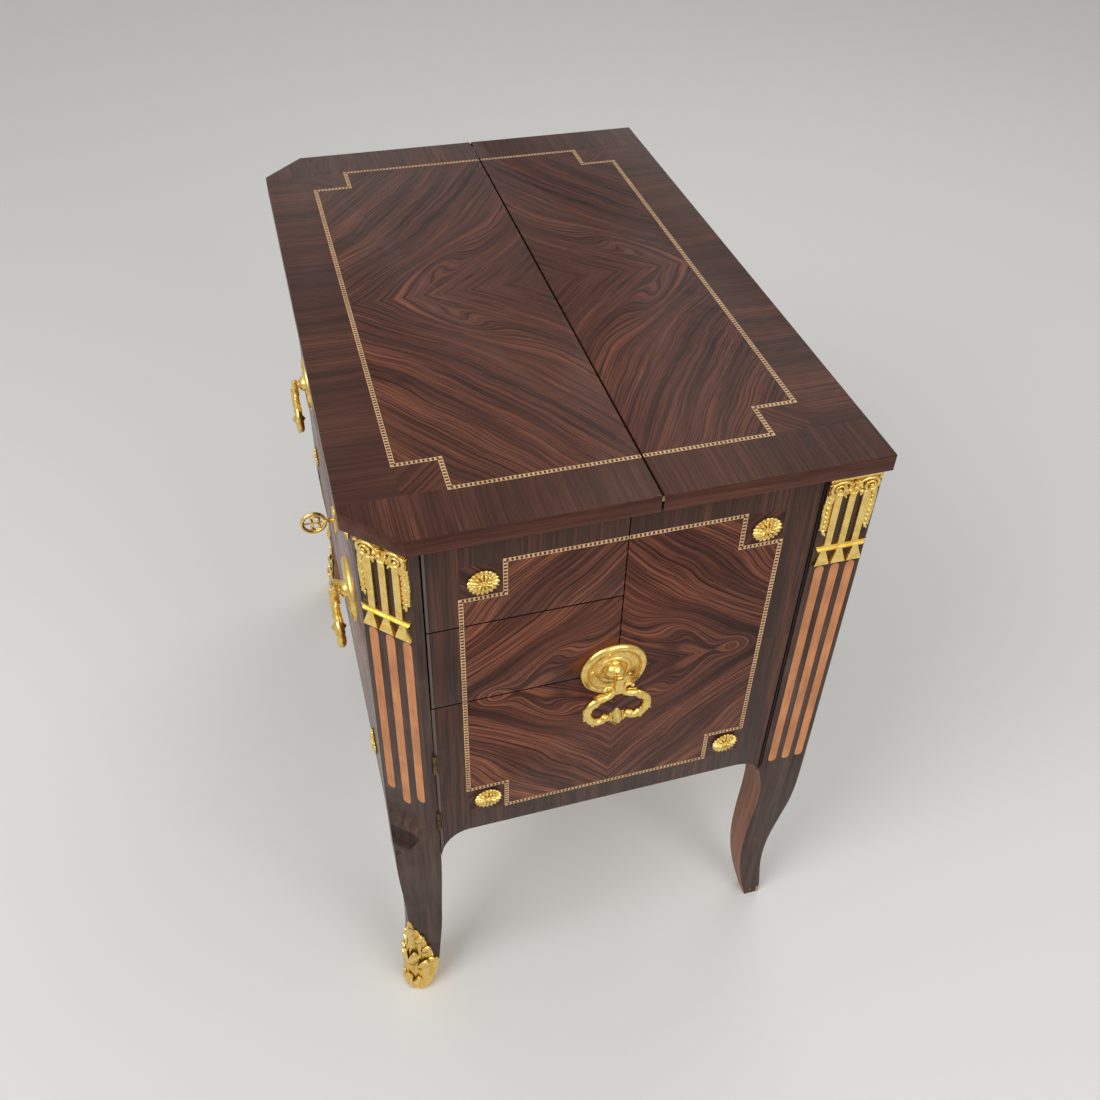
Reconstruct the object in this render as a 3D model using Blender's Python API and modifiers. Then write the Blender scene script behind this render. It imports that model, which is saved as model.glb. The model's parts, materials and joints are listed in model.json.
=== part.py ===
"""Convertible writing desk in the neoclassical manner.

A small veneered desk with a top in two leaves.  The front leaf folds back on two-pin hinges and
shows a leather-lined bed.  Two doors carry the canted front posts and the front legs with them,
and four drawers slide out of the ends.

Frame: X runs along the width, the front faces -Y, Z is up, the origin is on the floor below the
middle of the top.  All sizes are in metres.
"""

import math

import bmesh
import bpy
from mathutils import Matrix, Vector

# Top
TOP_WIDTH = 0.780
TOP_DEPTH = 0.522
HEIGHT = 0.800
TOP_THICKNESS = 0.019
TOP_CHAMFER = 0.050
TOP_ROUND = 0.0008
LEAF_JOINT_Y = 0.025
LEAF_GAP = 0.0025

# Case
SIDE_OVERHANG = 0.012
FRONT_OVERHANG = 0.012
PANEL = 0.018
CANT = 0.043
CANT_RETURN = 0.009
SPLIT_Y = 0.0
UPPER_DRAWER_HEIGHT = 0.115
LOWER_DRAWER_HEIGHT = 0.112
LOWER_PANEL_HEIGHT = 0.227
BRACKET_RUN = 0.034
BRACKET_DROP = 0.045
REAR_POST_WIDTH = 0.061
REAR_POST_DEPTH = 0.045
BACK_PANEL = 0.012
INNER_BOARD = 0.012
DECK = 0.008
BOTTOM_BOARD = 0.012
BED_BOARD = 0.014
BED_RIM = 0.0022
BED_RIM_WIDTH = 0.030
LEATHER = 0.0012

# Clearances
GAP = 0.0003
RUN = 0.0005
LID_CLEAR = 0.001

# Drawers
DRAWER_WALL = 0.009
DRAWER_BOTTOM = 0.006
DRAWER_SIDE_CLEAR = 0.0015
DRAWER_HEADROOM = 0.012

# Legs
TONGUE_RISE = 0.037
TONGUE_ABOVE_LEG = 0.0205
LEG_INSET = 0.006
SABOT_PROUD = 0.0012
SABOT_TIP = 0.155
SABOT_HEEL = 0.050

# Fittings
ROSETTE_RADIUS = 0.0155
ROSETTE_HEIGHT = 0.0055
ROSETTE_ROOT = 0.0005
ROSETTE_INSET = 0.0565
ROSETTE_BELOW_TOP = 0.059
ROSETTE_ABOVE_APRON = 0.054
PLATE_RADIUS = 0.0365
PLATE_SHIFT = 0.0045
PLATE_RISE = 0.0065
BOSS_RADIUS = 0.0105
BOSS_HEIGHT = 0.0120
LUG_WIDTH = 0.008
LUG_RISE = 0.005
LUG_DROP = 0.018
PIVOT_OUT = 0.0195
PIVOT_DROP = 0.013
BAIL_WIRE = 0.0034
BAIL_PIN = 0.0016
BAIL_WIDTH = 0.074
BAIL_DROP = 0.0505
BAIL_KNOP = 0.0060
PULL_X = 0.200
PULL_BELOW_TOP = 0.216
CHUTE_WIDTH = 0.054
CHUTE_HEIGHT = 0.110
CHUTE_THICKNESS = 0.0045
CHUTE_BELOW_TOP = 0.013
LEAF_PIN_DEPTH = 0.0040
LEAF_FOLD_CLEAR = 0.0004
LEAF_PIN_RADIUS = 0.0010
LEAF_PLATE_LENGTH = 0.036
LEAF_PLATE_HEIGHT = 0.0095
LEAF_PLATE = 0.0026
LEAF_LINK = 0.0012
LEAF_LINK_RADIUS = 0.0026
KNUCKLE_RADIUS = 0.0024
KNUCKLE_LENGTH = 0.030
HINGE_PIN_RADIUS = 0.0011
HINGE_PLATE = 0.0012
HINGE_PLATE_WIDTH = 0.014
HINGE_BELOW_CUT = 0.092
HINGE_ABOVE_APRON = 0.030
KEY_X = 0.030
KEY_ABOVE_APRON = 0.190
KEY_BOW_RADIUS = 0.0145
KEY_REACH = 0.041
KEY_SHANK = 0.0020
LOCK_LENGTH = 0.060
LOCK_HEIGHT = 0.056
LOCK_DEPTH = 0.013
BOLT_HEIGHT = 0.011
BOLT_DEPTH = 0.005
BOLT_LENGTH = 0.040
KEEPER_LENGTH = 0.016
KEEPER_CLEAR = 0.0018

# Planes and places that follow from the sizes above
TOP_UNDER = HEIGHT - TOP_THICKNESS
HALF_W = TOP_WIDTH / 2
HALF_D = TOP_DEPTH / 2
BODY_X = HALF_W - SIDE_OVERHANG
BODY_FRONT = -HALF_D + FRONT_OVERHANG
BODY_REAR = HALF_D
INNER_X = BODY_X - PANEL
SEAM_Y = BODY_FRONT + CANT + CANT_RETURN
REAR_SEAM_Y = BODY_REAR - REAR_POST_WIDTH
POST_X = BODY_X - CANT
REAR_POST_X = BODY_X - REAR_POST_DEPTH
UPPER_CUT_Z = TOP_UNDER - UPPER_DRAWER_HEIGHT
LOWER_CUT_Z = UPPER_CUT_Z - LOWER_DRAWER_HEIGHT
APRON_Z = LOWER_CUT_Z - LOWER_PANEL_HEIGHT
BED_TOP = TOP_UNDER - GAP - BED_RIM
BED_UNDER = BED_TOP - BED_BOARD
DOOR_TOP = TOP_UNDER - LID_CLEAR
DOOR_BACK = BODY_FRONT + PANEL
INNER_FRONT = SEAM_Y + RUN
PARTITION_Y = SPLIT_Y + RUN + GAP
LEAF_PIN_OFFSET = LEAF_PIN_DEPTH + LEAF_FOLD_CLEAR / 2
HINGE_AXIS = Vector((BODY_X + RUN, SEAM_Y, 0.0))
CANT_NORMAL = Vector((1.0, -1.0, 0.0)).normalized()
CANT_ALONG = Vector((1.0, 1.0, 0.0)).normalized()
CANT_MIDDLE = Vector((BODY_X - CANT / 2, BODY_FRONT + CANT / 2, 0.0))
KEY_Z = APRON_Z + KEY_ABOVE_APRON
PULL_Z = TOP_UNDER - PULL_BELOW_TOP
ROSETTE_NEAR_Y = SEAM_Y + ROSETTE_INSET
ROSETTE_FAR_Y = REAR_SEAM_Y - ROSETTE_INSET
ROSETTE_HIGH_Z = TOP_UNDER - ROSETTE_BELOW_TOP
ROSETTE_LOW_Z = APRON_Z + ROSETTE_ABOVE_APRON
ROSETTE_DOOR_X = POST_X - ROSETTE_INSET - CANT_RETURN
EPS = 0.001
WELD = 0.00001

for stale in list(bpy.data.objects):
    bpy.data.objects.remove(stale, do_unlink=True)

PARTS = bpy.data.collections.new("convertible_desk")
bpy.context.scene.collection.children.link(PARTS)


def finish(name, colour, roughness, metallic=0.0):
    """Principled material of one colour."""
    made = bpy.data.materials.new(name)
    made.use_nodes = True
    shader = made.node_tree.nodes["Principled BSDF"]
    shader.inputs["Base Color"].default_value = (*colour, 1.0)
    shader.inputs["Roughness"].default_value = roughness
    shader.inputs["Metallic"].default_value = metallic
    return made


VENEER = finish("kingwood_veneer", (0.075, 0.030, 0.020), 0.25)
POSTWOOD = finish("post_wood", (0.070, 0.045, 0.036), 0.30)
CARCASS = finish("carcass_oak", (0.33, 0.20, 0.10), 0.60)
GILT = finish("gilt_bronze", (0.80, 0.56, 0.18), 0.30, 1.0)
BRASS = finish("hinge_brass", (0.60, 0.45, 0.20), 0.35, 1.0)
STEEL = finish("lock_steel", (0.35, 0.34, 0.33), 0.40, 1.0)
HIDE = finish("bed_leather", (0.10, 0.035, 0.020), 0.55)


def pivot(name, at, parent=None):
    """Empty that carries one body; its place is on the body's joint axis."""
    empty = bpy.data.objects.new(name, None)
    empty.empty_display_size = 0.03
    PARTS.objects.link(empty)
    empty.parent = parent
    empty.location = Vector(at) - world_place(parent)
    return empty


def world_place(empty):
    """World place of an empty whose parents are only shifted."""
    place = Vector((0.0, 0.0, 0.0))
    while empty is not None:
        place += empty.location
        empty = empty.parent
    return place


def add(name, solid, look, body, round_angle=35.0):
    """Make a solid one named sub-part of a body, with its origin in its own middle."""
    low = Vector([min(v.co[i] for v in solid.verts) for i in range(3)])
    high = Vector([max(v.co[i] for v in solid.verts) for i in range(3)])
    middle = (low + high) / 2
    bmesh.ops.translate(solid, verts=solid.verts, vec=-middle)
    mesh = bpy.data.meshes.new(name)
    solid.to_mesh(mesh)
    solid.free()
    mesh.shade_smooth()
    mesh.set_sharp_from_angle(angle=math.radians(round_angle))
    mesh.materials.append(look)
    part = bpy.data.objects.new(name, mesh)
    PARTS.objects.link(part)
    part.parent = body
    part.location = middle - world_place(body)
    return part


def evaluated(guide):
    """Solid of a guide object with its modifiers; the guide is removed."""
    bpy.context.view_layer.update()
    graph = bpy.context.evaluated_depsgraph_get()
    mesh = bpy.data.meshes.new_from_object(guide.evaluated_get(graph))
    bpy.data.objects.remove(guide, do_unlink=True)
    solid = bmesh.new()
    solid.from_mesh(mesh)
    bpy.data.meshes.remove(mesh)
    bmesh.ops.remove_doubles(solid, verts=solid.verts, dist=WELD)
    bmesh.ops.recalc_face_normals(solid, faces=solid.faces)
    return solid


def guide_of(data):
    """Temporary object for mesh or curve data."""
    guide = bpy.data.objects.new("guide", data)
    bpy.context.scene.collection.objects.link(guide)
    return guide


def moved(solid, frame):
    """Solid carried by a matrix, with its faces still pointing out."""
    bmesh.ops.transform(solid, matrix=frame, verts=solid.verts)
    bmesh.ops.recalc_face_normals(solid, faces=solid.faces)
    return solid


def joined(*solids):
    """One mesh that holds several separate bodies."""
    whole = bmesh.new()
    for solid in solids:
        mesh = bpy.data.meshes.new("piece")
        solid.to_mesh(mesh)
        solid.free()
        whole.from_mesh(mesh)
        bpy.data.meshes.remove(mesh)
    return whole


def combined(base, tool, operation="DIFFERENCE"):
    """Boolean of two solids; both are used up."""
    guides = []
    for solid in (base, tool):
        mesh = bpy.data.meshes.new("operand")
        solid.to_mesh(mesh)
        solid.free()
        guides.append(guide_of(mesh))
    step = guides[0].modifiers.new("combine", "BOOLEAN")
    step.operation = operation
    step.object = guides[1]
    result = evaluated(guides[0])
    bpy.data.objects.remove(guides[1], do_unlink=True)
    return result


def slab(x, y, z):
    """Rectangular block between three (low, high) pairs."""
    solid = bmesh.new()
    bmesh.ops.create_cube(solid, size=1.0)
    size = Vector((x[1] - x[0], y[1] - y[0], z[1] - z[0]))
    middle = Vector((x[0] + x[1], y[0] + y[1], z[0] + z[1])) / 2
    bmesh.ops.scale(solid, vec=size, verts=solid.verts)
    bmesh.ops.translate(solid, vec=middle, verts=solid.verts)
    return solid


def rod(start, end, radius, sides=12):
    """Cylinder between two points."""
    start = Vector(start)
    run = Vector(end) - start
    solid = bmesh.new()
    bmesh.ops.create_cone(solid, cap_ends=True, segments=sides, radius1=radius, radius2=radius,
                          depth=run.length)
    turn = run.to_track_quat("Z", "Y").to_matrix().to_4x4()
    return moved(solid, Matrix.Translation(start + run / 2) @ turn)


def board(outlines, thickness, frame):
    """Flat outline, with holes after the first, spread evenly about the frame's XY plane."""
    curve = bpy.data.curves.new("outline", "CURVE")
    curve.dimensions = "2D"
    curve.fill_mode = "BOTH"
    curve.extrude = thickness / 2
    for points in outlines:
        spline = curve.splines.new("POLY")
        spline.points.add(len(points) - 1)
        for knot, (u, v) in zip(spline.points, points):
            knot.co = (u, v, 0.0, 1.0)
        spline.use_cyclic_u = True
    return moved(evaluated(guide_of(curve)), frame)


def wire(points, frame):
    """Round bar along (place, radius) knots."""
    curve = bpy.data.curves.new("wire", "CURVE")
    curve.dimensions = "3D"
    curve.bevel_depth = 1.0
    curve.bevel_resolution = 1
    curve.use_fill_caps = True
    spline = curve.splines.new("POLY")
    spline.points.add(len(points) - 1)
    for knot, (place, radius) in zip(spline.points, points):
        knot.co = (*place, 1.0)
        knot.radius = radius
    return moved(evaluated(guide_of(curve)), frame)


def turned(profile, frame, steps=24):
    """Solid turned about the frame's Z from (radius, height) points that start and end on it."""
    mesh = bpy.data.meshes.new("profile")
    edges = [(i, i + 1) for i in range(len(profile) - 1)]
    mesh.from_pydata([(r, 0.0, h) for r, h in profile], edges, [])
    guide = guide_of(mesh)
    screw = guide.modifiers.new("turn", "SCREW")
    screw.steps = steps
    screw.render_steps = steps
    screw.use_merge_vertices = True
    screw.merge_threshold = 0.00001
    return moved(evaluated(guide), frame)


def loft(rings):
    """Closed solid through rings of equal count, from the lowest to the highest."""
    solid = bmesh.new()
    levels = [[solid.verts.new(place) for place in ring] for ring in rings]
    count = len(rings[0])
    for lower, upper in zip(levels, levels[1:]):
        for i in range(count):
            j = (i + 1) % count
            solid.faces.new((lower[i], lower[j], upper[j], upper[i]))
    solid.faces.new(levels[0])
    solid.faces.new(levels[-1])
    bmesh.ops.recalc_face_normals(solid, faces=solid.faces)
    return solid


def halved(solid, place, normal):
    """What lies behind a plane, with the cut closed."""
    geometry = solid.verts[:] + solid.edges[:] + solid.faces[:]
    cut = bmesh.ops.bisect_plane(solid, geom=geometry, plane_co=place, plane_no=normal,
                                 clear_outer=True)
    rim = [item for item in cut["geom_cut"] if isinstance(item, bmesh.types.BMEdge)]
    bmesh.ops.holes_fill(solid, edges=rim)
    bmesh.ops.recalc_face_normals(solid, faces=solid.faces)
    return solid


def rounded(solid, width):
    """All edges sharper than a right angle's half get a small flat bevel."""
    edges = [e for e in solid.edges if e.calc_face_angle(0.0) > math.radians(40)]
    bmesh.ops.bevel(solid, geom=edges, offset=width, segments=1, affect="EDGES")
    return solid


def mirrored(solid):
    """The same piece for the left end."""
    return moved(solid, Matrix.Scale(-1, 4, Vector((1.0, 0.0, 0.0))))


def sided(solid, side):
    """A right-hand solid, or its mirror image for side -1."""
    return solid if side > 0 else mirrored(solid)


def plan_frame(z):
    """Outline drawn in X and Y at a height."""
    return Matrix.Translation((0.0, 0.0, z))


def side_frame(x):
    """Outline drawn in Y and Z on a plane of constant X, facing +X."""
    return Matrix(((0, 0, 1, x), (1, 0, 0, 0), (0, 1, 0, 0), (0, 0, 0, 1)))


def front_frame(y):
    """Outline drawn in X and Z on a plane of constant Y, facing -Y."""
    return Matrix(((1, 0, 0, 0), (0, 0, -1, y), (0, 1, 0, 0), (0, 0, 0, 1)))


def cant_frame(outward, z):
    """Outline drawn across the canted corner, facing out of it, with heights above z."""
    at = CANT_MIDDLE + CANT_NORMAL * outward
    along, out = CANT_ALONG, CANT_NORMAL
    return Matrix(((along.x, 0, out.x, at.x), (along.y, 0, out.y, at.y), (0, 1, 0, z),
                   (0, 0, 0, 1)))


def seated(frame, u, v):
    """Frame moved along its own plane."""
    return frame @ Matrix.Translation((u, v, 0.0))


def arc(centre, radii, start, end, count):
    """Points of an ellipse's arc, with angles in degrees."""
    points = []
    for i in range(count + 1):
        angle = math.radians(start + (end - start) * i / count)
        points.append((centre[0] + radii[0] * math.cos(angle),
                       centre[1] + radii[1] * math.sin(angle)))
    return points


def circle(centre, radius, count):
    """Closed ring of points."""
    return arc(centre, (radius, radius), 0.0, 360.0, count)[:-1]


def eased(stations, t):
    """Smooth curve through (t, value) stations."""
    for i in range(len(stations) - 1):
        if t <= stations[i + 1][0] or i == len(stations) - 2:
            break
    t1, p1 = stations[i]
    t2, p2 = stations[i + 1]
    t0, p0 = stations[max(i - 1, 0)]
    t3, p3 = stations[min(i + 2, len(stations) - 1)]
    s = (t - t1) / (t2 - t1)
    m1 = (p2 - p0) / (t2 - t0) * (t2 - t1)
    m2 = (p3 - p1) / (t3 - t1) * (t2 - t1)
    return ((2 * s**3 - 3 * s**2 + 1) * p1 + (s**3 - 2 * s**2 + s) * m1
            + (3 * s**2 - 2 * s**3) * p2 + (s**3 - s**2) * m2)


# Bodies: the case stands still, everything else hangs on a pivot of its own
CASE = pivot("case", (0.0, 0.0, 0.0))
LEAF_PIN_Z = HEIGHT - LEAF_PIN_DEPTH
LINKS = pivot("leaf_links", (0.0, LEAF_JOINT_Y + LEAF_PIN_OFFSET, LEAF_PIN_Z), CASE)
LEAF = pivot("folding_leaf", (0.0, LEAF_JOINT_Y - LEAF_PIN_OFFSET, LEAF_PIN_Z), LINKS)
SIDES = (("right", 1), ("left", -1))
DOORS = {}
UPPER = {}
LOWER = {}
for hand, side in SIDES:
    DOORS[hand] = pivot(f"{hand}_door", (side * HINGE_AXIS.x, HINGE_AXIS.y, 0.0), CASE)
    UPPER[hand] = pivot(f"{hand}_upper_drawer", (side * INNER_X, 0.0, UPPER_CUT_Z), CASE)
    LOWER[hand] = pivot(f"{hand}_lower_drawer", (side * INNER_X, 0.0, LOWER_CUT_Z), CASE)


# Top leaves and their two-pin hinges

def leaf_pocket(edge_y, toward):
    """Cutter for the hinge plates let into both ends of a leaf."""
    low, high = sorted((edge_y - toward * EPS, edge_y + toward * (LEAF_PLATE_LENGTH + 2 * GAP)))
    floor = HEIGHT - LEAF_PLATE_HEIGHT - 2 * GAP
    depth = LEAF_PLATE + 2 * GAP
    pockets = [slab(sorted((s * (HALF_W - depth), s * (HALF_W + EPS))), (low, high),
                    (floor, HEIGHT + EPS)) for s in (1, -1)]
    return joined(*pockets)


def leaf_plate(edge_y, toward, side):
    """Hinge plate with its pin; the link lies in a step cut in its outer face."""
    pin_y = LEAF_JOINT_Y + toward * LEAF_PIN_OFFSET
    outer = HALF_W - GAP
    inner = outer - LEAF_PLATE
    step = outer - LEAF_LINK - GAP
    near = edge_y + toward * GAP
    far = near + toward * LEAF_PLATE_LENGTH
    plate = slab((inner, outer), sorted((near, far)),
                 (HEIGHT - GAP - LEAF_PLATE_HEIGHT, HEIGHT - GAP))
    reach = LEAF_LINK_RADIUS + 2 * GAP
    relief = slab((step, outer + EPS), sorted((near - toward * EPS, pin_y + toward * reach)),
                  (LEAF_PIN_Z - reach, HEIGHT + EPS))
    plate = combined(plate, relief)
    pin = rod((step - LEAF_LINK / 2, pin_y, LEAF_PIN_Z), (outer - GAP, pin_y, LEAF_PIN_Z),
              LEAF_PIN_RADIUS, 10)
    return sided(combined(plate, pin, "UNION"), side)


def leaf_link(side):
    """Flat link with round ends and two eyes."""
    offset = LEAF_PIN_OFFSET
    middle = (LEAF_JOINT_Y, LEAF_PIN_Z)
    ends = []
    for sign, start in ((1, -90.0), (-1, 90.0)):
        centre = (middle[0] + sign * offset, middle[1])
        ends += arc(centre, (LEAF_LINK_RADIUS, LEAF_LINK_RADIUS), start, start + 180.0, 8)
    eyes = [circle((middle[0] + sign * offset, middle[1]), LEAF_PIN_RADIUS + GAP, 10)
            for sign in (1, -1)]
    link = board([ends, *eyes], LEAF_LINK, side_frame(HALF_W - GAP - LEAF_LINK / 2))
    return sided(link, side)


def build_top():
    """Rear leaf on the case, front leaf on its links."""
    rear_edge = LEAF_JOINT_Y + LEAF_GAP / 2
    front_edge = LEAF_JOINT_Y - LEAF_GAP / 2
    middle = plan_frame(HEIGHT - TOP_THICKNESS / 2)
    rear = board([[(-HALF_W, rear_edge), (HALF_W, rear_edge), (HALF_W, HALF_D), (-HALF_W, HALF_D)]],
                 TOP_THICKNESS, middle)
    rear = combined(rounded(rear, TOP_ROUND), leaf_pocket(rear_edge, 1))
    add("rear_leaf", rear, VENEER, CASE)
    front = board([[(-HALF_W, front_edge), (-HALF_W, -HALF_D + TOP_CHAMFER),
                    (-HALF_W + TOP_CHAMFER, -HALF_D), (HALF_W - TOP_CHAMFER, -HALF_D),
                    (HALF_W, -HALF_D + TOP_CHAMFER), (HALF_W, front_edge)]],
                  TOP_THICKNESS, middle)
    front = combined(rounded(front, TOP_ROUND), leaf_pocket(front_edge, -1))
    add("front_leaf", front, VENEER, LEAF)
    for hand, side in SIDES:
        add(f"{hand}_rear_leaf_hinge_plate", leaf_plate(rear_edge, 1, side), BRASS, CASE)
        add(f"{hand}_front_leaf_hinge_plate", leaf_plate(front_edge, -1, side), BRASS, LEAF)
        add(f"{hand}_leaf_hinge_link", leaf_link(side), BRASS, LINKS)


# Door hinges, used as cutters too

def hinge_heights():
    """Middle heights of the two butt hinges of a door."""
    return (LOWER_CUT_Z - HINGE_BELOW_CUT, APRON_Z + HINGE_ABOVE_APRON)


def hinge_parts(z, moving):
    """One flap of a butt hinge: the fixed flap has the outer knuckles and the pin."""
    at = HINGE_AXIS
    third = KNUCKLE_LENGTH / 3
    toward = -1 if moving else 1
    low = z - KNUCKLE_LENGTH / 2
    pin_y = at.y
    near = pin_y + toward * (RUN + GAP)
    far = near + toward * HINGE_PLATE
    flap = slab((at.x - HINGE_PLATE_WIDTH, at.x - KNUCKLE_RADIUS / 2), sorted((near, far)),
                (low, low + KNUCKLE_LENGTH))
    if moving:
        barrel = rod((at.x, pin_y, low + third + GAP), (at.x, pin_y, low + 2 * third - GAP),
                     KNUCKLE_RADIUS)
        slots = [(low - EPS, low + third + GAP), (low + 2 * third - GAP, low + KNUCKLE_LENGTH + EPS)]
    else:
        barrel = rod((at.x, pin_y, low), (at.x, pin_y, low + KNUCKLE_LENGTH), KNUCKLE_RADIUS)
        slots = [(low + third - GAP, low + 2 * third + GAP)]
    solid = combined(flap, barrel, "UNION")
    reach = KNUCKLE_RADIUS + 2 * GAP
    for slot in slots:
        hollow = slab((at.x - reach, at.x + reach), (pin_y - reach, pin_y + reach), slot)
        solid = combined(solid, hollow)
    if moving:
        bore = rod((at.x, pin_y, low - EPS), (at.x, pin_y, low + KNUCKLE_LENGTH + EPS),
                   HINGE_PIN_RADIUS + GAP, 10)
        return combined(solid, bore)
    pin = rod((at.x, pin_y, low + EPS), (at.x, pin_y, low + KNUCKLE_LENGTH - EPS),
              HINGE_PIN_RADIUS, 10)
    return combined(solid, pin, "UNION")


def hinge_bed(toward):
    """Cutter for the flap pockets and the knuckle's cove in the edge beside a hinge."""
    at = HINGE_AXIS
    pieces = []
    for z in hinge_heights():
        low = z - KNUCKLE_LENGTH / 2 - 2 * GAP
        high = z + KNUCKLE_LENGTH / 2 + 2 * GAP
        edge = at.y + toward * RUN
        deep = edge + toward * (HINGE_PLATE + 2 * GAP)
        pocket = slab((at.x - HINGE_PLATE_WIDTH - GAP, at.x + EPS),
                      sorted((edge - toward * EPS, deep)), (low, high))
        cove = rod((at.x, at.y, low), (at.x, at.y, high), KNUCKLE_RADIUS + 2 * GAP)
        pieces.append(combined(pocket, cove, "UNION"))
    return joined(*pieces)


# Rosettes, one casting with the board that carries them

def with_rosettes(solid, face, places):
    """Board with low domed rosettes at places of its outer face, rooted a little in the veneer."""
    r, h = ROSETTE_RADIUS, ROSETTE_HEIGHT
    profile = [(0.0, h), (r * 0.28, h * 0.9), (r * 0.36, h * 0.55), (r * 0.75, h * 0.75), (r, h * 0.25),
               (r, -ROSETTE_ROOT), (0.0, -ROSETTE_ROOT)]
    for u, v in places:
        solid = combined(solid, turned(profile, seated(face, u, v), 16), "UNION")
    return solid


# Case

def bracket(corner, run, drop, outward):
    """Curve of the lower edge as it drops to a leg; runs toward the corner."""
    centre = (corner[0] - outward * run, corner[1] - drop)
    points = arc(centre, (run, drop), 90.0, 0.0, 6)
    return [(centre[0] + outward * (u - centre[0]), v) for u, v in points]


def side_panel():
    """End panel: full height behind the drawers, low in front of them."""
    front = SEAM_Y + RUN
    rear = REAR_SEAM_Y - GAP
    top = TOP_UNDER - LID_CLEAR * 0.7
    outline = [(front, LOWER_CUT_Z - RUN), (SPLIT_Y + RUN, LOWER_CUT_Z - RUN), (SPLIT_Y + RUN, top),
               (rear, top)]
    outline += bracket((rear, APRON_Z), BRACKET_RUN, BRACKET_DROP / 2, 1)[::-1]
    outline += bracket((front, APRON_Z), BRACKET_RUN, BRACKET_DROP, -1)
    panel = board([outline], PANEL, side_frame(BODY_X - PANEL / 2))
    panel = combined(panel, hinge_bed(1))
    places = ((ROSETTE_NEAR_Y, ROSETTE_LOW_Z), (ROSETTE_FAR_Y, ROSETTE_LOW_Z),
              (ROSETTE_FAR_Y, ROSETTE_HIGH_Z))
    return with_rosettes(panel, side_frame(BODY_X), places)


def rear_post():
    """Rear post and cabriole leg in one piece."""
    front_edge = [(0.0, 0.0235), (0.14, 0.0105), (0.28, 0.0023), (0.41, 0.0012), (0.56, 0.0060),
                  (0.69, 0.0088), (0.80, 0.0068), (0.90, 0.0030), (1.0, 0.0)]
    rear_edge = [(0.0, 0.0175), (0.07, 0.0180), (0.20, 0.0240), (0.31, 0.0260), (0.40, 0.0230),
                 (0.51, 0.0130), (0.62, 0.0050), (0.77, 0.0010), (0.88, 0.0), (1.0, 0.0)]
    outer_face = [(0.0, 0.0), (0.25, 0.0035), (0.55, 0.0045), (0.85, 0.0010), (1.0, 0.0)]
    inner_face = [(0.0, 0.021), (0.20, 0.013), (0.45, 0.004), (0.75, 0.0), (1.0, 0.0)]
    rings = []
    steps = 14
    for i in range(steps + 1):
        t = i / steps
        z = t * (APRON_Z - BRACKET_DROP / 2)
        y0 = REAR_SEAM_Y + eased(front_edge, t)
        y1 = BODY_REAR - eased(rear_edge, t)
        x0 = REAR_POST_X + eased(inner_face, t)
        x1 = BODY_X - eased(outer_face, t)
        rings.append([(x0, y0, z), (x1, y0, z), (x1, y1, z), (x0, y1, z)])
    top = TOP_UNDER - GAP
    rings.append([(x, y, top) for x, y, _ in rings[-1]])
    return loft(rings)


def build_case():
    """Fixed frame: ends, rear posts, back, inner boards, writing bed."""
    for hand, side in SIDES:
        add(f"{hand}_side_panel", sided(side_panel(), side), VENEER, CASE)
        add(f"{hand}_rear_post", sided(rear_post(), side), POSTWOOD, CASE)
    post_in = REAR_POST_X - GAP
    add("back_panel", slab((-post_in, post_in), (BODY_REAR - BACK_PANEL, BODY_REAR),
                           (APRON_Z, TOP_UNDER - GAP)), CARCASS, CASE)
    wide = INNER_X - GAP
    notch = REAR_SEAM_Y - GAP
    back = BODY_REAR - BACK_PANEL - GAP
    floor = [(-wide, INNER_FRONT), (wide, INNER_FRONT), (wide, notch), (post_in, notch),
             (post_in, back), (-post_in, back), (-post_in, notch), (-wide, notch)]
    add("bottom_board", board([floor], BOTTOM_BOARD, plan_frame(APRON_Z + BOTTOM_BOARD)), CARCASS, CASE)
    floor_top = APRON_Z + BOTTOM_BOARD * 1.5
    partition = (PARTITION_Y, PARTITION_Y + INNER_BOARD)
    add("partition", slab((-wide, wide), partition, (floor_top + GAP, BED_UNDER - GAP)), CARCASS, CASE)
    deck_y = (INNER_FRONT + INNER_BOARD + GAP, PARTITION_Y - GAP)
    low_deck = (LOWER_CUT_Z - DECK, LOWER_CUT_Z)
    high_deck = (UPPER_CUT_Z - DECK, UPPER_CUT_Z)
    add("lower_deck", slab((-wide, wide), deck_y, low_deck), CARCASS, CASE)
    add("upper_deck", slab((-wide, wide), deck_y, high_deck), CARCASS, CASE)
    add("inner_front", slab((-wide, wide), (INNER_FRONT, INNER_FRONT + INNER_BOARD),
                            (low_deck[0], BED_UNDER - GAP)), CARCASS, CASE)
    build_bed(wide)


def build_bed(wide):
    """Writing bed below the front leaf, with a raised rim round its leather."""
    front = DOOR_BACK + EPS
    narrow = POST_X - EPS
    rear = PARTITION_Y + INNER_BOARD
    step = INNER_FRONT
    z = (BED_UNDER, BED_TOP + BED_RIM)
    bed = combined(slab((-narrow, narrow), (front, rear), z), slab((-wide, wide), (step, rear), z), "UNION")
    inset_x = narrow - BED_RIM_WIDTH
    inset_y = (front + BED_RIM_WIDTH / 2, rear - BED_RIM_WIDTH / 2)
    well = slab((-inset_x, inset_x), inset_y, (BED_TOP, BED_TOP + BED_RIM + EPS))
    add("writing_bed", combined(bed, well), VENEER, CASE)
    add("bed_leather", slab((-inset_x + GAP, inset_x - GAP), (inset_y[0] + GAP, inset_y[1] - GAP),
                            (BED_TOP + GAP, BED_TOP + GAP + LEATHER)), HIDE, CASE)


# Doors with the front posts and legs

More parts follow.
